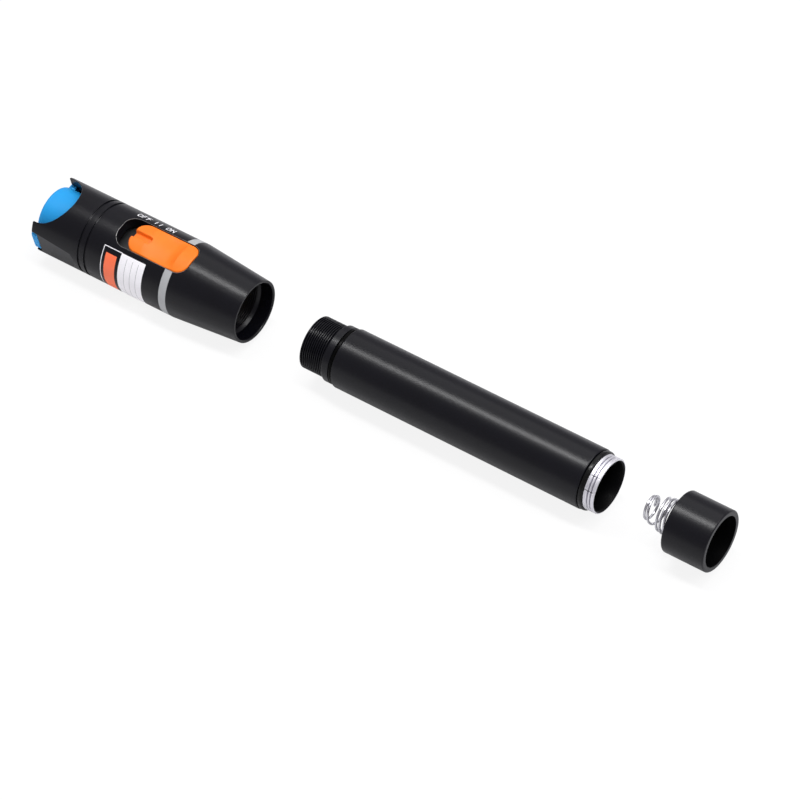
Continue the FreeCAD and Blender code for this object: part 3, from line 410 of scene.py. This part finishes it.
def thread_rows(start, end, root, crest, pitch, half_groove, angles=ROUND, samples=14):
    """Rows of a screw thread from start to end.

    Its phase at a station and angle is the station over the pitch less the angle's share of a turn. The
    radius is the crest less the thread's height times a groove, 1 where the phase is within half_groove of a
    whole number and falling to 0 over the flank's share. The grooves fade in and out over half a pitch.
    """
    flank = 0.09
    count = int(abs(end - start) / pitch * samples) + 2
    x = np.linspace(start, end, count)[:, None]
    phase = (x / pitch - angles[None, :] / TURN) % 1.0
    groove = np.clip((half_groove + flank - np.minimum(phase, 1 - phase)) / flank, 0, 1)
    low, high = min(start, end), max(start, end)
    fade = np.clip(np.minimum(x - low, high - x) / (0.5 * pitch), 0, 1)
    radius = crest - (crest - root) * groove * fade
    return np.stack(np.broadcast_arrays(x, radius), -1)


def turned_piece(name, blocks, group, body, material, face_bands=None, angles=ROUND, marks=None):
    """A piece turned about the axis, from blocks of rows one after the other.

    face_bands picks a face's material by its row. marks gives the number of a material by the place on the
    piece, or -1 where the band's own stays.
    """
    rows = np.concatenate(blocks, 0)
    points = in_row(around(rows[..., 0], rows[..., 1], angles[None, :]), group)
    faces = grid_faces(len(rows), len(angles), True, True)
    chosen = None
    if face_bands is not None:
        chosen = np.repeat([face_bands(*pair) for pair in rows[:, 0]], len(angles))
    if marks is not None:
        marked = marks(rows[..., 0], rows[..., 1], angles[None, :]).ravel()
        chosen = np.where(marked < 0, chosen, marked)
    return make_piece(name, points, faces, body, material, face_materials=chosen)


# The tail cap, its spring and its contact

def build_tail_cap():
    """A turned cap whose front bore is threaded. Its outline runs round the wall and back along the bores."""
    root, crest, floor, floor_back = 9.26, 9.5, 6.1, 7.7
    outline = softened([(1.8, root), (1.8, SEAL_BORE), (0, SEAL_BORE), (0, CAP_RADIUS - 0.22),
                        (0.3, CAP_RADIUS), (CAP_LENGTH - 0.3, CAP_RADIUS), (CAP_LENGTH, CAP_RADIUS - 0.35),
                        (CAP_LENGTH, RECESS_RADIUS + 0.1), (CAP_LENGTH - 0.1, RECESS_RADIUS),
                        (floor_back, RECESS_RADIUS), (floor_back, 1.0), (floor, 1.0), (floor, root)], 0.14)
    thread = thread_rows(floor - 0.2, 1.95, root, crest, pitch=0.9, half_groove=0.22)

    def band(x, r):
        """The dark finish in both bores, and the dyed one outside."""
        return 1 if r < 9.7 and x < 7.0 or r < RECESS_RADIUS + 0.05 else 0

    piece = turned_piece("tail_cap_turned", [rows_of(outline[3:-2]), thread], "cap", "cap",
                         [ANODISED, BORE], face_bands=band)
    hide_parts("tail_cap")


# The spring's stretches from base to tip, each its turns and its pitch
SPRING_STRETCHES = ((1.0, 0.85), (2.0, 3.1), (2.1, 1.35), (1.0, 4.2), (1.4, 0.8))
SPRING_TIP_ANGLE = -0.7
SPRING_BASE, SPRING_TIP = (4.9, 6.05), (-10.4, 3.5)
WIRE_RADIUS, WIRE_CORNERS = 0.4, 20


def build_tail_spring():
    """Round wire coiled on a barrel, with close turns at its base, middle and tip.

    A point's station moves forward by its stretch's pitch, and its radius falls from the base's to the tip's
    with that rise to the power 2.5. The wire's circle stands across the path, in the plane of the outward
    direction and the path's binormal, and shrinks to a point at the wire's two ends.
    """
    turns = sum(count for count, _ in SPRING_STRETCHES)
    rise = sum(count * pitch for count, pitch in SPRING_STRETCHES)
    turn = np.linspace(0, turns, int(turns * 72))
    marks = np.cumsum([0] + [count for count, _ in SPRING_STRETCHES])
    heights = np.cumsum([0] + [count * pitch / rise for count, pitch in SPRING_STRETCHES])
    reach = 7
    kernel = np.hanning(2 * reach + 1) / np.hanning(2 * reach + 1).sum()
    height = np.convolve(np.pad(np.interp(turn, marks, heights), reach, mode="edge"), kernel, mode="valid")
    station = SPRING_BASE[0] + (SPRING_TIP[0] - SPRING_BASE[0]) * height
    radius = SPRING_BASE[1] + (SPRING_TIP[1] - SPRING_BASE[1]) * height ** 2.5
    angle = SPRING_TIP_ANGLE + TURN * (turns - turn)
    path = np.stack([station, radius * np.cos(angle), radius * np.sin(angle)], -1)
    along = np.gradient(path, axis=0)
    along /= np.linalg.norm(along, axis=1, keepdims=True)
    outwards = np.stack([np.zeros_like(angle), np.cos(angle), np.sin(angle)], -1)
    across = np.cross(along, outwards)
    across /= np.linalg.norm(across, axis=1, keepdims=True)
    outwards = np.cross(across, along)
    around_wire = np.linspace(0, TURN, WIRE_CORNERS, endpoint=False)[None, :, None]
    girth = np.full(len(turn), WIRE_RADIUS)
    girth[[0, -1]] = 0.0
    girth[[1, -2]] = 0.8 * WIRE_RADIUS
    circle = outwards[:, None] * np.cos(around_wire) + across[:, None] * np.sin(around_wire)
    points = path[:, None] + circle * girth[:, None, None]
    piece = make_piece("tail_spring_wire", in_row(points, "cap"),
                       grid_faces(len(turn), WIRE_CORNERS, False, True), "cap", SPRING_WIRE,
                       sharp=60.0)
    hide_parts("tail_spring")


# The battery tube

RING_ROOT, RING_CREST, RING_PITCH = 8.84, 9.14, 1.05
NICK_WIDTH, NICK_DEPTH = 0.1, 0.12


def from_nick(x, angle):
    """The distance round the bare ring from the nearer nick, which goes to and fro once a pitch."""
    swing, radius = 0.12, 9.1
    jag = swing * (4 * np.abs(x / RING_PITCH % 1 - 0.5) - 1)
    return np.min([np.abs((angle - start) * radius - jag) for start in NICK_ANGLES], 0)


def build_battery_tube():
    """The long tube, with a fine thread on its nose and the bare rear ring's coarser one.

    Two nicks cross the bare ring, painted black as the shade in them. A nick is the bell exp(-(s / width)
    squared) in the distance s round the ring from it. The bare thread's roots are rougher than its crests and
    painted darker, as shade.
    """
    front = rows_of([(0, TUBE_BORE + 0.1), (0, 8.35), (0.06, 8.6), (0.2, 8.78)], TUBE_ROUND)
    nose = thread_rows(0.25, 8.3, 8.34, 8.88, pitch=0.75, half_groove=0.23, angles=TUBE_ROUND)
    middle = softened([(8.35, 8.7), (8.4, 8.9), (9.1, 9.6), (11.4, 9.6), (11.4, 8.5), (12.9, 8.5),
                       (12.9, TUBE_RADIUS - 0.2), (13.1, TUBE_RADIUS), (103.85, TUBE_RADIUS),
                       (104.1, TUBE_RADIUS - 0.2), (104.1, 8.5), (105.9, 8.5), (105.9, 8.8)], 0.12)[3:-3]
    ring = thread_rows(105.95, 109.3, RING_ROOT, RING_CREST, RING_PITCH, half_groove=0.15,
                       angles=TUBE_ROUND, samples=20).copy()
    ring[..., 1] -= NICK_DEPTH * np.exp(-(from_nick(ring[..., 0], TUBE_ROUND[None, :]) / NICK_WIDTH) ** 2)
    rear = [(109.4, 9.1), (109.52, 9.0), (TUBE_LENGTH, 8.85), (TUBE_LENGTH, 8.72), (109.54, 8.6),
            (109.15, 8.22), (109.05, 8.18), (105.6, TUBE_BORE), (105.4, TUBE_BORE), (0.2, TUBE_BORE)]

    def band(x, r):
        """The dark finish in the bore, the bare one on the rear ring, and the dyed one elsewhere."""
        in_bore = r < 8.21 and x > 5 or r < 8.7 and x > 109 or x < 1 and r < 8
        on_ring = x > 105.85 and (r > 8.8 or x < 109.3)
        return 1 if in_bore else 2 if on_ring else 0

    def marks(x, r, angle):
        """On the bare ring, painted shade: the bore's black in the nicks and the darker root material in the
        thread's roots.
        """
        bare = (x > 106.0) & (x < 108.9) & (r > 8.7)
        # Faces in the nicks take the bore's black as painted shade
        dyed = bare & (from_nick(x, angle) < 0.9 * NICK_WIDTH)
        return np.where(dyed, 1, np.where(bare & (r < 8.9), 3, -1))

    blocks = [front, nose, rows_of(middle, TUBE_ROUND), ring, rows_of(rear, TUBE_ROUND)]
    piece = turned_piece("battery_tube_turned", blocks, "tube", "tube", [ANODISED, BORE, BARE, ROOT_SHADE],
                         band, TUBE_ROUND, marks)
    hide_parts("battery_tube")


def build_seal(node, station, half_width, middle, half_height, material):
    """A ring of squeezed rubber: a squarish oval, its sine and cosine to the power 0.7, round the axis."""
    corners = 32
    wire = np.linspace(0, TURN, corners, endpoint=False)[:, None]
    sine, cosine = np.sin(wire), np.cos(wire)
    x = station + half_width * np.sign(cosine) * np.abs(cosine) ** 0.7
    r = middle + half_height * np.sign(sine) * np.abs(sine) ** 0.7
    piece = make_piece(node + "_ring", in_row(around(x, r, ROUND[None, :]), "tube"),
                       grid_faces(corners, len(ROUND), True, True), "tube", material)
    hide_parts(node)


# The head

def merged_copy(node, name, material, body, sharp=30.0, change=None, settle=None):
    """A CAD node's own mesh with its corners merged, so that it shades smoothly, in place of the node.

    change works on it with its flat faces joined, and settle works on the mesh that comes out.
    """
    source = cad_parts[node].data
    points = np.empty(len(source.vertices) * 3)
    source.vertices.foreach_get("co", points)
    corners = np.empty(len(source.loops), np.int32)
    source.loops.foreach_get("vertex_index", corners)
    mesh = bpy.data.meshes.new(name)
    mesh.from_pydata(points.reshape(-1, 3), [], corners.reshape(-1, 3).tolist())
    work = bmesh.new()
    work.from_mesh(mesh)
    bmesh.ops.remove_doubles(work, verts=work.verts, dist=2e-7)
    bmesh.ops.dissolve_degenerate(work, edges=work.edges, dist=1e-7)
    if change:
        bmesh.ops.dissolve_limit(work, angle_limit=math.radians(0.4), verts=work.verts, edges=work.edges)
        change(work)
    work.to_mesh(mesh)
    work.free()
    if settle:
        settle(mesh)
    piece = finish_piece(name, mesh, body, material, sharp)
    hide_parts(node)
    return piece


def sharp_edges(work, least):
    """A mesh's edges whose two faces turn by more than least, in degrees."""
    return [edge for edge in work.edges
            if len(edge.link_faces) == 2 and edge.calc_face_angle(0.0) > math.radians(least)]


def in_crown(point):
    """Whether a point is on the crown's petals, clear of the notches that the dust cap's lobes stand in."""
    crown_length, notch_half = 12.0, 4.8
    height = point.co.z - AXIS_HEIGHT * MM
    from_notch = height * math.cos(HEAD_ROLL) - point.co.y * math.sin(HEAD_ROLL)
    return point.co.x < (HEAD_START + crown_length) * MM and abs(from_notch) > notch_half * MM


def soften_head(work):
    """Rounds the shell's edges: the sharpest ones of the crown's petals more, then the rest a little."""
    rounded = set()
    for least, offset, segments, wanted in ((50, 0.45, 4, in_crown), (15, 0.12, 2, None)):
        edges = [edge for edge in sharp_edges(work, least) if not rounded.intersection(edge.link_faces)
                 and (wanted is None or all(map(wanted, edge.verts)))]
        made = bmesh.ops.bevel(work, geom=edges, offset=offset * MM, segments=segments, profile=0.5,
                               affect="EDGES", clamp_overlap=False)
        rounded = set(made["faces"])
    # The last softened faces take the painted edge highlight, which settle_head keeps on the slot's edge
    # alone
    for face in made["faces"]:
        face.material_index = 1


def settle_head(mesh):
    """Keeps every point within the turned skin, and the painted highlight on the slot's softened edge alone.

    Where a point's distance from the axis is over the skin's radius, its offset from the axis is scaled back
    to it. The slot is found by its stations and by its angle from the head's top.
    """
    slot_front, slot_rear, slot_angle, edge_depth = 29.7, 59.7, 28, 0.3
    points = np.empty(len(mesh.vertices) * 3)
    mesh.vertices.foreach_get("co", points)
    points = points.reshape(-1, 3) / MM
    offset = points[:, 1:] - (0, AXIS_HEIGHT)
    reach = np.linalg.norm(offset, axis=1, keepdims=True)
    points[:, 1:] = offset * np.minimum(1, SKIN_RADIUS / np.maximum(reach, 1e-6)) + (0, AXIS_HEIGHT)
    points[:, 0] = np.maximum(points[:, 0], HEAD_START)
    mesh.vertices.foreach_set("co", (points * MM).ravel())
    count = len(mesh.polygons)
    centres, chosen = np.empty(count * 3), np.empty(count, np.int32)
    mesh.polygons.foreach_get("center", centres)
    mesh.polygons.foreach_get("material_index", chosen)
    x, y, z = centres.reshape(-1, 3).T / MM
    tilt = np.degrees(np.arctan2(-y, z - AXIS_HEIGHT)) - math.degrees(HEAD_ROLL)
    near_slot = (x > HEAD_START + slot_front) & (x < HEAD_START + slot_rear) & (np.abs(tilt) < slot_angle)
    near_slot &= np.hypot(y, z - AXIS_HEIGHT) > HEAD_RADIUS - edge_depth
    mesh.polygons.foreach_set("material_index", np.where(near_slot, chosen, 0).astype(np.int32))


def build_head_shell():
    """The crowned shell from its solid, with softened edges, and the thread inside its rear bore."""
    # Its second material is the painted highlight on the slot's edge
    piece = merged_copy("head_shell", "head_shell_body", [ANODISED, EDGE_HIGHLIGHT], "head", 32.0,
                        soften_head, settle_head)
    normals = piece.modifiers.new("even_normals", "WEIGHTED_NORMAL")
    normals.keep_sharp = True
    wall, root, crest = HEAD_BORE - 0.004, HEAD_BORE - 0.02, HEAD_BORE - 0.1
    inner = rows_of([(62.0, wall), (62.0, root)])
    thread = thread_rows(62.1, SEAL_BORE_START - 1.0, root, crest, pitch=0.75, half_groove=0.22)
    outer = rows_of([(SEAL_BORE_START - 0.9, root), (SEAL_BORE_START - 0.9, wall)])
    turned_piece("head_bore_thread", [inner, thread, outer], "head", "head", ANODISED)


def build_dust_cap():
    """The plug with its two lobes.

    Round the axis, its front reaches to the edge of a bar with round corners, a superellipse of power 9 whose
    half axes are the lobes' reach and half width, and nowhere less than the plug's radius. The outline runs
    out over the front face to that reach, back along the lobes, in under them, along the plug and into the
    socket.
    """
    half_width, lobe_reach, plug, power = 4.2, 12.1, 9.5, 9.0
    lobe_back, plug_back, socket, socket_end = 2.0, 12.3, 3.6, 4.3
    corner, waist = math.atan2(half_width, lobe_reach), math.asin(half_width / plug)
    quarter = np.concatenate([
        np.linspace(0, corner - 0.1, 8), np.linspace(corner - 0.08, corner + 0.08, 15),
        np.linspace(corner + 0.1, waist, 8), np.linspace(waist, math.pi / 2, 30)[1:]])
    half = np.concatenate([quarter, math.pi - quarter[-2::-1]])
    angle = np.concatenate([half, math.pi + half[1:-1]])
    bar = np.abs(np.sin(angle) / half_width) ** power + np.abs(np.cos(angle) / lobe_reach) ** power
    reach = np.maximum(bar ** (-1 / power), plug)[None, :]
    front, edge = -0.4, 0.8 - 0.4 * np.clip((reach - plug) / 0.8, 0, 1)
    bend = np.linspace(0, math.pi / 2, 8)[:, None]
    face = np.linspace(0, 1, 12)[:, None]
    blocks = [
        (np.full_like(face * reach, front), face * (reach - edge - 0.15)),
        (front + edge * (1 - np.cos(bend)), reach - edge * (1 - np.sin(bend))),
        (np.array([[0.7], [1.8]]) + 0 * reach, np.repeat(reach, 2, 0)),
        (np.array([[lobe_back - 0.07], [lobe_back], [lobe_back]]) + 0 * reach,
         np.concatenate([np.maximum(reach - 0.04, plug), np.maximum(reach - 0.18, plug),
                         np.full_like(reach, plug)], 0)),
    ]
    barrel = softened([(lobe_back + 0.05, plug), (10.1, plug), (plug_back, 8.4), (plug_back, socket),
                       (socket_end, socket), (socket_end, 0.0)], 0.5)[5:-3]
    barrel = np.concatenate([barrel, [[socket_end, 0.0]]], 0)
    blocks.append((barrel[:, :1] + 0 * reach, barrel[:, 1:] + 0 * reach))
    x = np.concatenate([block[0] for block in blocks], 0)
    r = np.concatenate([block[1] for block in blocks], 0)
    points = around(x, r, (angle + math.pi / 2)[None, :])
    piece = make_piece("dust_cap_moulded", in_row(points, "head"),
                       grid_faces(len(x), len(angle), False, True), "cover", BLUE, sharp=50.0)
    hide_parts("dust_cap")


BUTTON_FRONT, BUTTON_LENGTH, BUTTON_HALF, BUTTON_CORNER = 34.7, 23.4, 5.7, 3.85
BUTTON_CROWN, BUTTON_FOOT, BUTTON_RIM = 12.75, 6.9, 0.5
DISH_CENTRE, DISH_DEPTH, DISH_FRONT, DISH_REAR = 14.8, 1.3, 9.0, 3.7
GROOVE_END, GROOVE_TIP, GROOVE_DEPTH, GROOVE_HALF, GROOVE_STEEPNESS = 6.3, 0.7, 1.5, 1.15, 12


def build_switch_button():
    """The button: a crowned slab with round corners, a mark groove and a finger dish.

    At a place on its plan, its height is the crown, the root of the crown's radius squared less y squared,
    less the dish, the groove and the rim's rounding. The rim's rounding is a quarter circle over the distance
    from the plan's edge. The dish is a parabola that falls gently from the front and rises steeply at its
    rear, and fades out towards both sides. The groove's wall is a steep logistic step. Rows run across and
    reach as far along x as the round corners let them.
    """
    along, wide = 220, 110
    u = np.sin(np.linspace(-math.pi / 2, math.pi / 2, along))[None, :]
    v = np.sin(np.linspace(-math.pi / 2, math.pi / 2, wide))[:, None]
    half_length = BUTTON_LENGTH / 2
    inset = half_length - BUTTON_CORNER
    y = BUTTON_HALF * v
    over = np.clip(np.abs(y) - (BUTTON_HALF - BUTTON_CORNER), 0, None)
    x = u * (inset + np.sqrt(np.clip(BUTTON_CORNER ** 2 - over ** 2, 0, None)))
    y = y + 0 * x
    corner_x, corner_y = np.abs(x) - inset, np.abs(y) - (BUTTON_HALF - BUTTON_CORNER)
    outside = np.hypot(np.clip(corner_x, 0, None), np.clip(corner_y, 0, None))
    depth = BUTTON_CORNER - outside - np.minimum(np.maximum(corner_x, corner_y), 0)
    inwards = np.clip(BUTTON_RIM - depth, 0, BUTTON_RIM)
    rim = BUTTON_RIM - np.sqrt(np.clip(BUTTON_RIM ** 2 - inwards ** 2, 0, None))
    dish_x = x + half_length - DISH_CENTRE
    sides = np.clip(1 - (np.abs(y) / (BUTTON_HALF - 0.1)) ** 4, 0, None)
    dish_reach = np.where(dish_x > 0, DISH_REAR, DISH_FRONT)
    dish = DISH_DEPTH * np.clip(1 - (dish_x / dish_reach) ** 2, 0, None) * sides
    past_end = np.clip((x + half_length - GROOVE_END) / GROOVE_TIP, 0, None)
    from_middle = np.hypot(np.abs(y) / GROOVE_HALF, past_end)
    groove = GROOVE_DEPTH / (1 + np.exp((from_middle - 1) * GROOVE_STEEPNESS))
    z = np.sqrt(BUTTON_CROWN ** 2 - y ** 2) - dish - groove - rim
    centre = BUTTON_FRONT + half_length
    top = np.stack([x + centre, y, z], -1)
    bottom = np.stack([x + centre, y, np.full_like(z, BUTTON_FOOT)], -1)
    count = wide * along
    faces = grid_faces(wide, along, False, False)
    index = np.arange(count).reshape(wide, along)
    loop = np.concatenate([index[0, :-1], index[:-1, -1], index[-1, :0:-1], index[:0:-1, 0]])
    after = np.roll(loop, -1)
    wall = np.stack([loop, after, after + count, loop + count], -1)
    faces = np.concatenate([faces, faces[:, ::-1] + count, wall])
    points = np.concatenate([top.reshape(-1, 3), bottom.reshape(-1, 3)])
    piece = make_piece("switch_button_moulded", in_row(points, "head"), faces, "slider", ORANGE,
                       sharp=45.0)
    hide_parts("switch_button")


INK_LIFT = 0.006


def print_patch(name, x_low, x_high, angle_low, angle_high, material):
    """A film of ink on the head's skin between two stations and two angles in degrees from the top."""
    x = np.linspace(x_low, x_high, 3)[:, None]
    columns = max(3, int(abs(angle_high - angle_low) / 2))
    angle = np.radians(np.linspace(angle_low, angle_high, columns))[None, :]
    points = around(x, SKIN_RADIUS + INK_LIFT, angle)
    make_piece(name, in_row(points, "head"), grid_faces(len(x), columns, False, False), "head", material,
               closed=False)


def print_strokes(name, strokes, width, material, lift=INK_LIFT):
    """Thin lines of ink on the head's skin.

    A stroke runs between two points, each a station and a distance round the skin from the head's top. It
    becomes a strip of the given width, cut into steps so that it follows the skin.
    """
    points, faces = [], []
    for start, end in strokes:
        start, end = np.array(start, float), np.array(end, float)
        along = (end - start) / np.linalg.norm(end - start)
        aside = np.array([-along[1], along[0]]) * width / 2
        start, end = start - along * width / 2, end + along * width / 2
        steps = 2 + int(np.linalg.norm(end - start) / 0.5)
        middle = start + (end - start) * np.linspace(0, 1, steps)[:, None]
        flat = np.stack([middle - aside, middle + aside], 1)
        faces.append(grid_faces(steps, 2, False, False) + sum(len(block) for block in points))
        points.append(flat.reshape(-1, 2))
    flat = np.concatenate(points)
    skin = around(flat[:, 0], SKIN_RADIUS + lift, flat[:, 1] / HEAD_RADIUS)
    make_piece(name, in_row(skin, "head"), np.concatenate(faces), "head", material,
               closed=False)


# The letters of ON and OFF as strokes in a cell one wide and one high, with the letter's foot at 0
LETTERS = {
    "O": [((0.15, 0), (0.85, 0)), ((0.85, 0), (1, 0.2)), ((1, 0.2), (1, 0.8)), ((1, 0.8), (0.85, 1)),
          ((0.85, 1), (0.15, 1)), ((0.15, 1), (0, 0.8)), ((0, 0.8), (0, 0.2)), ((0, 0.2), (0.15, 0))],
    "N": [((0, 0), (0, 1)), ((0, 1), (1, 0)), ((1, 0), (1, 1))],
    "F": [((0, 0), (0, 1)), ((0, 1), (1, 1)), ((0, 0.52), (0.75, 0.52))],
}


def word_strokes(word, station, foot, height):
    """A word's strokes, read from the front towards the rear with its head away from the slot."""
    width, pitch = 0.62, 0.95
    return [[(station + height * (width * x + pitch * place), foot - height * y) for x, y in stroke]
            for place, letter in enumerate(word) for stroke in LETTERS[letter]]


def build_prints():
    """The grey ring, the framed panel with its writing field, and the marks beside the slot."""
    print_patch("grey_ring_print", 51.6, 54.4, 27.6, 332.4, GREY_INK)
    low, high, panel_front, field_front, field_rear = 35.0, 128.5, 28.2, 35.4, 44.7
    print_patch("panel_front_edge", panel_front, panel_front + 0.25, low, high, WHITE_INK)
    print_patch("panel_middle_edge", field_front - 0.25, field_front, low, high, WHITE_INK)
    for name, angle in (("panel_top_edge", low), ("panel_bottom_edge", high)):
        print_patch(name, panel_front, field_front, angle - 0.6, angle + 0.6, WHITE_INK)
    print_patch("panel_bar", 29.6, 33.9, 43.5, 117.0, ORANGE_INK)
    print_patch("writing_field", field_front, field_rear, low, high, WHITE_INK)
    rule_low, rule_high = math.radians(low + 5) * HEAD_RADIUS, math.radians(high - 5) * HEAD_RADIUS
    rules = [((station, rule_low), (station, rule_high)) for station in (37.7, 40.0, 42.3)]
    print_strokes("writing_rules", rules, 0.16, GREY_INK, lift=0.009)
    foot, height = math.radians(-33.0) * HEAD_RADIUS, 1.9
    marks = word_strokes("OFF", 30.6, foot, height) + word_strokes("ON", 42.0, foot, height)
    marks += [((station, foot), (station, foot - height)) for station in (37.6, 39.4)]
    print_strokes("switch_marks", marks, 0.3, WHITE_INK)


# Building everything

build_tail_cap()
build_tail_spring()
build_battery_tube()
build_seal("front_seal", 12.15, half_width=0.66, middle=9.05, half_height=0.58, material=DRY_RUBBER)
build_seal("rear_seal", 105.0, half_width=0.84, middle=9.15, half_height=0.64, material=GREASED_RUBBER)
build_head_shell()
build_dust_cap()
build_switch_button()
build_prints()

INNER_FINISHES = {
    "ferrule_adapter": (NICKEL, "nickel_plate", "head"),
    "adapter_lock_ring": (NICKEL, "nickel_plate", "head"),
    "ferrule_sleeve": (CERAMIC, "white_ceramic", "head"),
    "inner_carrier": (PLASTIC, "black_plastic", "head"),
    "slide_shield": (PLASTIC, "black_plastic", "slider"),
    "contact_insulator": (PLASTIC, "black_plastic", "head"),
    "middle_contact": (GOLD, "gold_plate", "head"),
    "contact_ring": (BRASS, "brass", "head"),
    "contact_disc": (NICKEL, "nickel_plate", "cap"),
    "disc_screw": (STEEL, "steel", "cap"),
}
for node, (material, slot, body) in INNER_FINISHES.items():
    merged_copy(node, node + "_finished", material, body)

HIDDEN_FINISHES = {
    "laser_housing": BRASS, "lens_ring": BRASS, "diode_clamp_ring": BRASS, "focus_lens": GLASS,
    "laser_diode": GOLD, "circuit_board": MASK, "board_screws": STEEL, "driver_chip": PLASTIC,
    "resistors": PLASTIC, "capacitor": BARE, "slide_switch_case": STEEL, "slide_switch_post": PLASTIC,
}
for node, material in HIDDEN_FINISHES.items():
    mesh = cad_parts[node].data
    mesh.materials.clear()
    mesh.materials.append(material)


# Floor, light and camera

def build_floor():
    """A pale floor that the camera sees as nearly white, and that still takes the pen's shadow.

    In reflections it glows less and has a greyer shade, so that the black body stays dark.
    """
    half, seen_glow, mirrored_glow = 4, 0.87, -0.57
    mesh = bpy.data.meshes.new("floor")
    mesh.from_pydata([(-half, -half, 0), (half, -half, 0), (half, half, 0), (-half, half, 0)], [],
                     [(0, 1, 2, 3)])
    material = bpy.data.materials.new("pale_studio_floor")
    material.use_nodes = True
    tree = material.node_tree
    tree.nodes.clear()
    rays = add(tree, "ShaderNodeLightPath")
    shade = blend(tree, rays.outputs["Is Glossy Ray"], linear("#F6F6F6"), linear("#BDBDC0"))
    matte = add(tree, "ShaderNodeBsdfDiffuse", {"Color": shade})
    glow = add(tree, "ShaderNodeEmission", {"Color": linear("#FFFFFF"), "Strength": 1.0})
    seen = add(tree, "ShaderNodeMath", {0: rays.outputs["Is Camera Ray"], 1: rays.outputs["Is Glossy Ray"]},
               operation="MAXIMUM")
    seen = add(tree, "ShaderNodeMath", {0: seen.outputs[0], 1: rays.outputs["Is Transmission Ray"]},
               operation="MAXIMUM")
    share = add(tree, "ShaderNodeMath", {0: seen.outputs[0], 1: seen_glow}, operation="MULTIPLY")
    mirrored = add(tree, "ShaderNodeMath", {0: rays.outputs["Is Glossy Ray"], 1: mirrored_glow},
                   operation="MULTIPLY")
    share = add(tree, "ShaderNodeMath", {0: share.outputs[0], 1: mirrored.outputs[0]}, operation="ADD")
    mixed = add(tree, "ShaderNodeMixShader", {0: share.outputs[0], 1: matte.outputs[0], 2: glow.outputs[0]})
    add(tree, "ShaderNodeOutputMaterial", {"Surface": mixed.outputs[0]})
    mesh.materials.append(material)
    floor = bpy.data.objects.new("floor", mesh)
    bpy.context.scene.collection.objects.link(floor)


def build_world():
    """An even pale room."""
    world = bpy.data.worlds.new("studio_room")
    bpy.context.scene.world = world
    world.use_nodes = True
    tree = world.node_tree
    tree.nodes.clear()
    light = add(tree, "ShaderNodeBackground", {"Color": linear("#F4F1FA"), "Strength": 0.42})
    add(tree, "ShaderNodeOutputWorld", {"Surface": light.outputs[0]})


def build_lamp(name, place, width, height, power):
    """A soft box that faces the pen, its width along the pen's axis where it can be."""
    light = bpy.data.lights.new(name, "AREA")
    light.shape = "RECTANGLE"
    light.size, light.size_y = width, height
    light.energy = power
    lamp = bpy.data.objects.new(name, light)
    bpy.context.scene.collection.objects.link(lamp)
    place, target = Vector(place), Vector((0.0, 0.0, 0.01))
    back = (place - target).normalized()
    side = Vector((1, 0, 0)) - back * back.x
    side.normalize()
    up = back.cross(side)
    lamp.matrix_world = Matrix.Translation(place) @ Matrix((side, up, back)).transposed().to_4x4()


def build_camera():
    """A long lens that sees the axis point 36 mm right of the row's middle at pixel (470, 418) of 800."""
    azimuth, elevation, reach = math.radians(35.43), math.radians(44.114), 1.22451
    lens, sensor = 180.0, 36.0
    focal_pixels, pixels_right, pixels_down = 800 * lens / sensor, 70.0, 18.10928
    forward = Vector((-math.sin(azimuth) * math.cos(elevation), math.cos(azimuth) * math.cos(elevation),
                      -math.sin(elevation)))
    right = Vector((math.cos(azimuth), math.sin(azimuth), 0))
    up = right.cross(forward)
    known = Vector(((HEAD_START + 162.5) * MM, 0, AXIS_HEIGHT * MM))
    offset_right, offset_down = pixels_right / focal_pixels * reach, pixels_down / focal_pixels * reach
    camera = bpy.data.cameras.new("camera")
    camera.lens, camera.sensor_width = lens, sensor
    camera.clip_start, camera.clip_end = 0.05, 20.0
    holder = bpy.data.objects.new("camera", camera)
    bpy.context.scene.collection.objects.link(holder)
    place = known - right * offset_right + up * offset_down - forward * reach
    holder.matrix_world = Matrix.Translation(place) @ Matrix((right, up, -forward)).transposed().to_4x4()
    bpy.context.scene.camera = holder


build_floor()
build_world()
build_lamp("top_strip", (-0.045, -0.06, 0.75), width=0.71, height=0.12, power=4.9)
build_lamp("wide_fill", (0.0, 0.7, 1.0), width=1.4, height=0.8, power=3.0)
build_lamp("side_key", (0.75, 0.2, 0.8), width=0.5, height=0.5, power=5.0)
build_camera()
bpy.context.scene.view_settings.view_transform = "Standard"
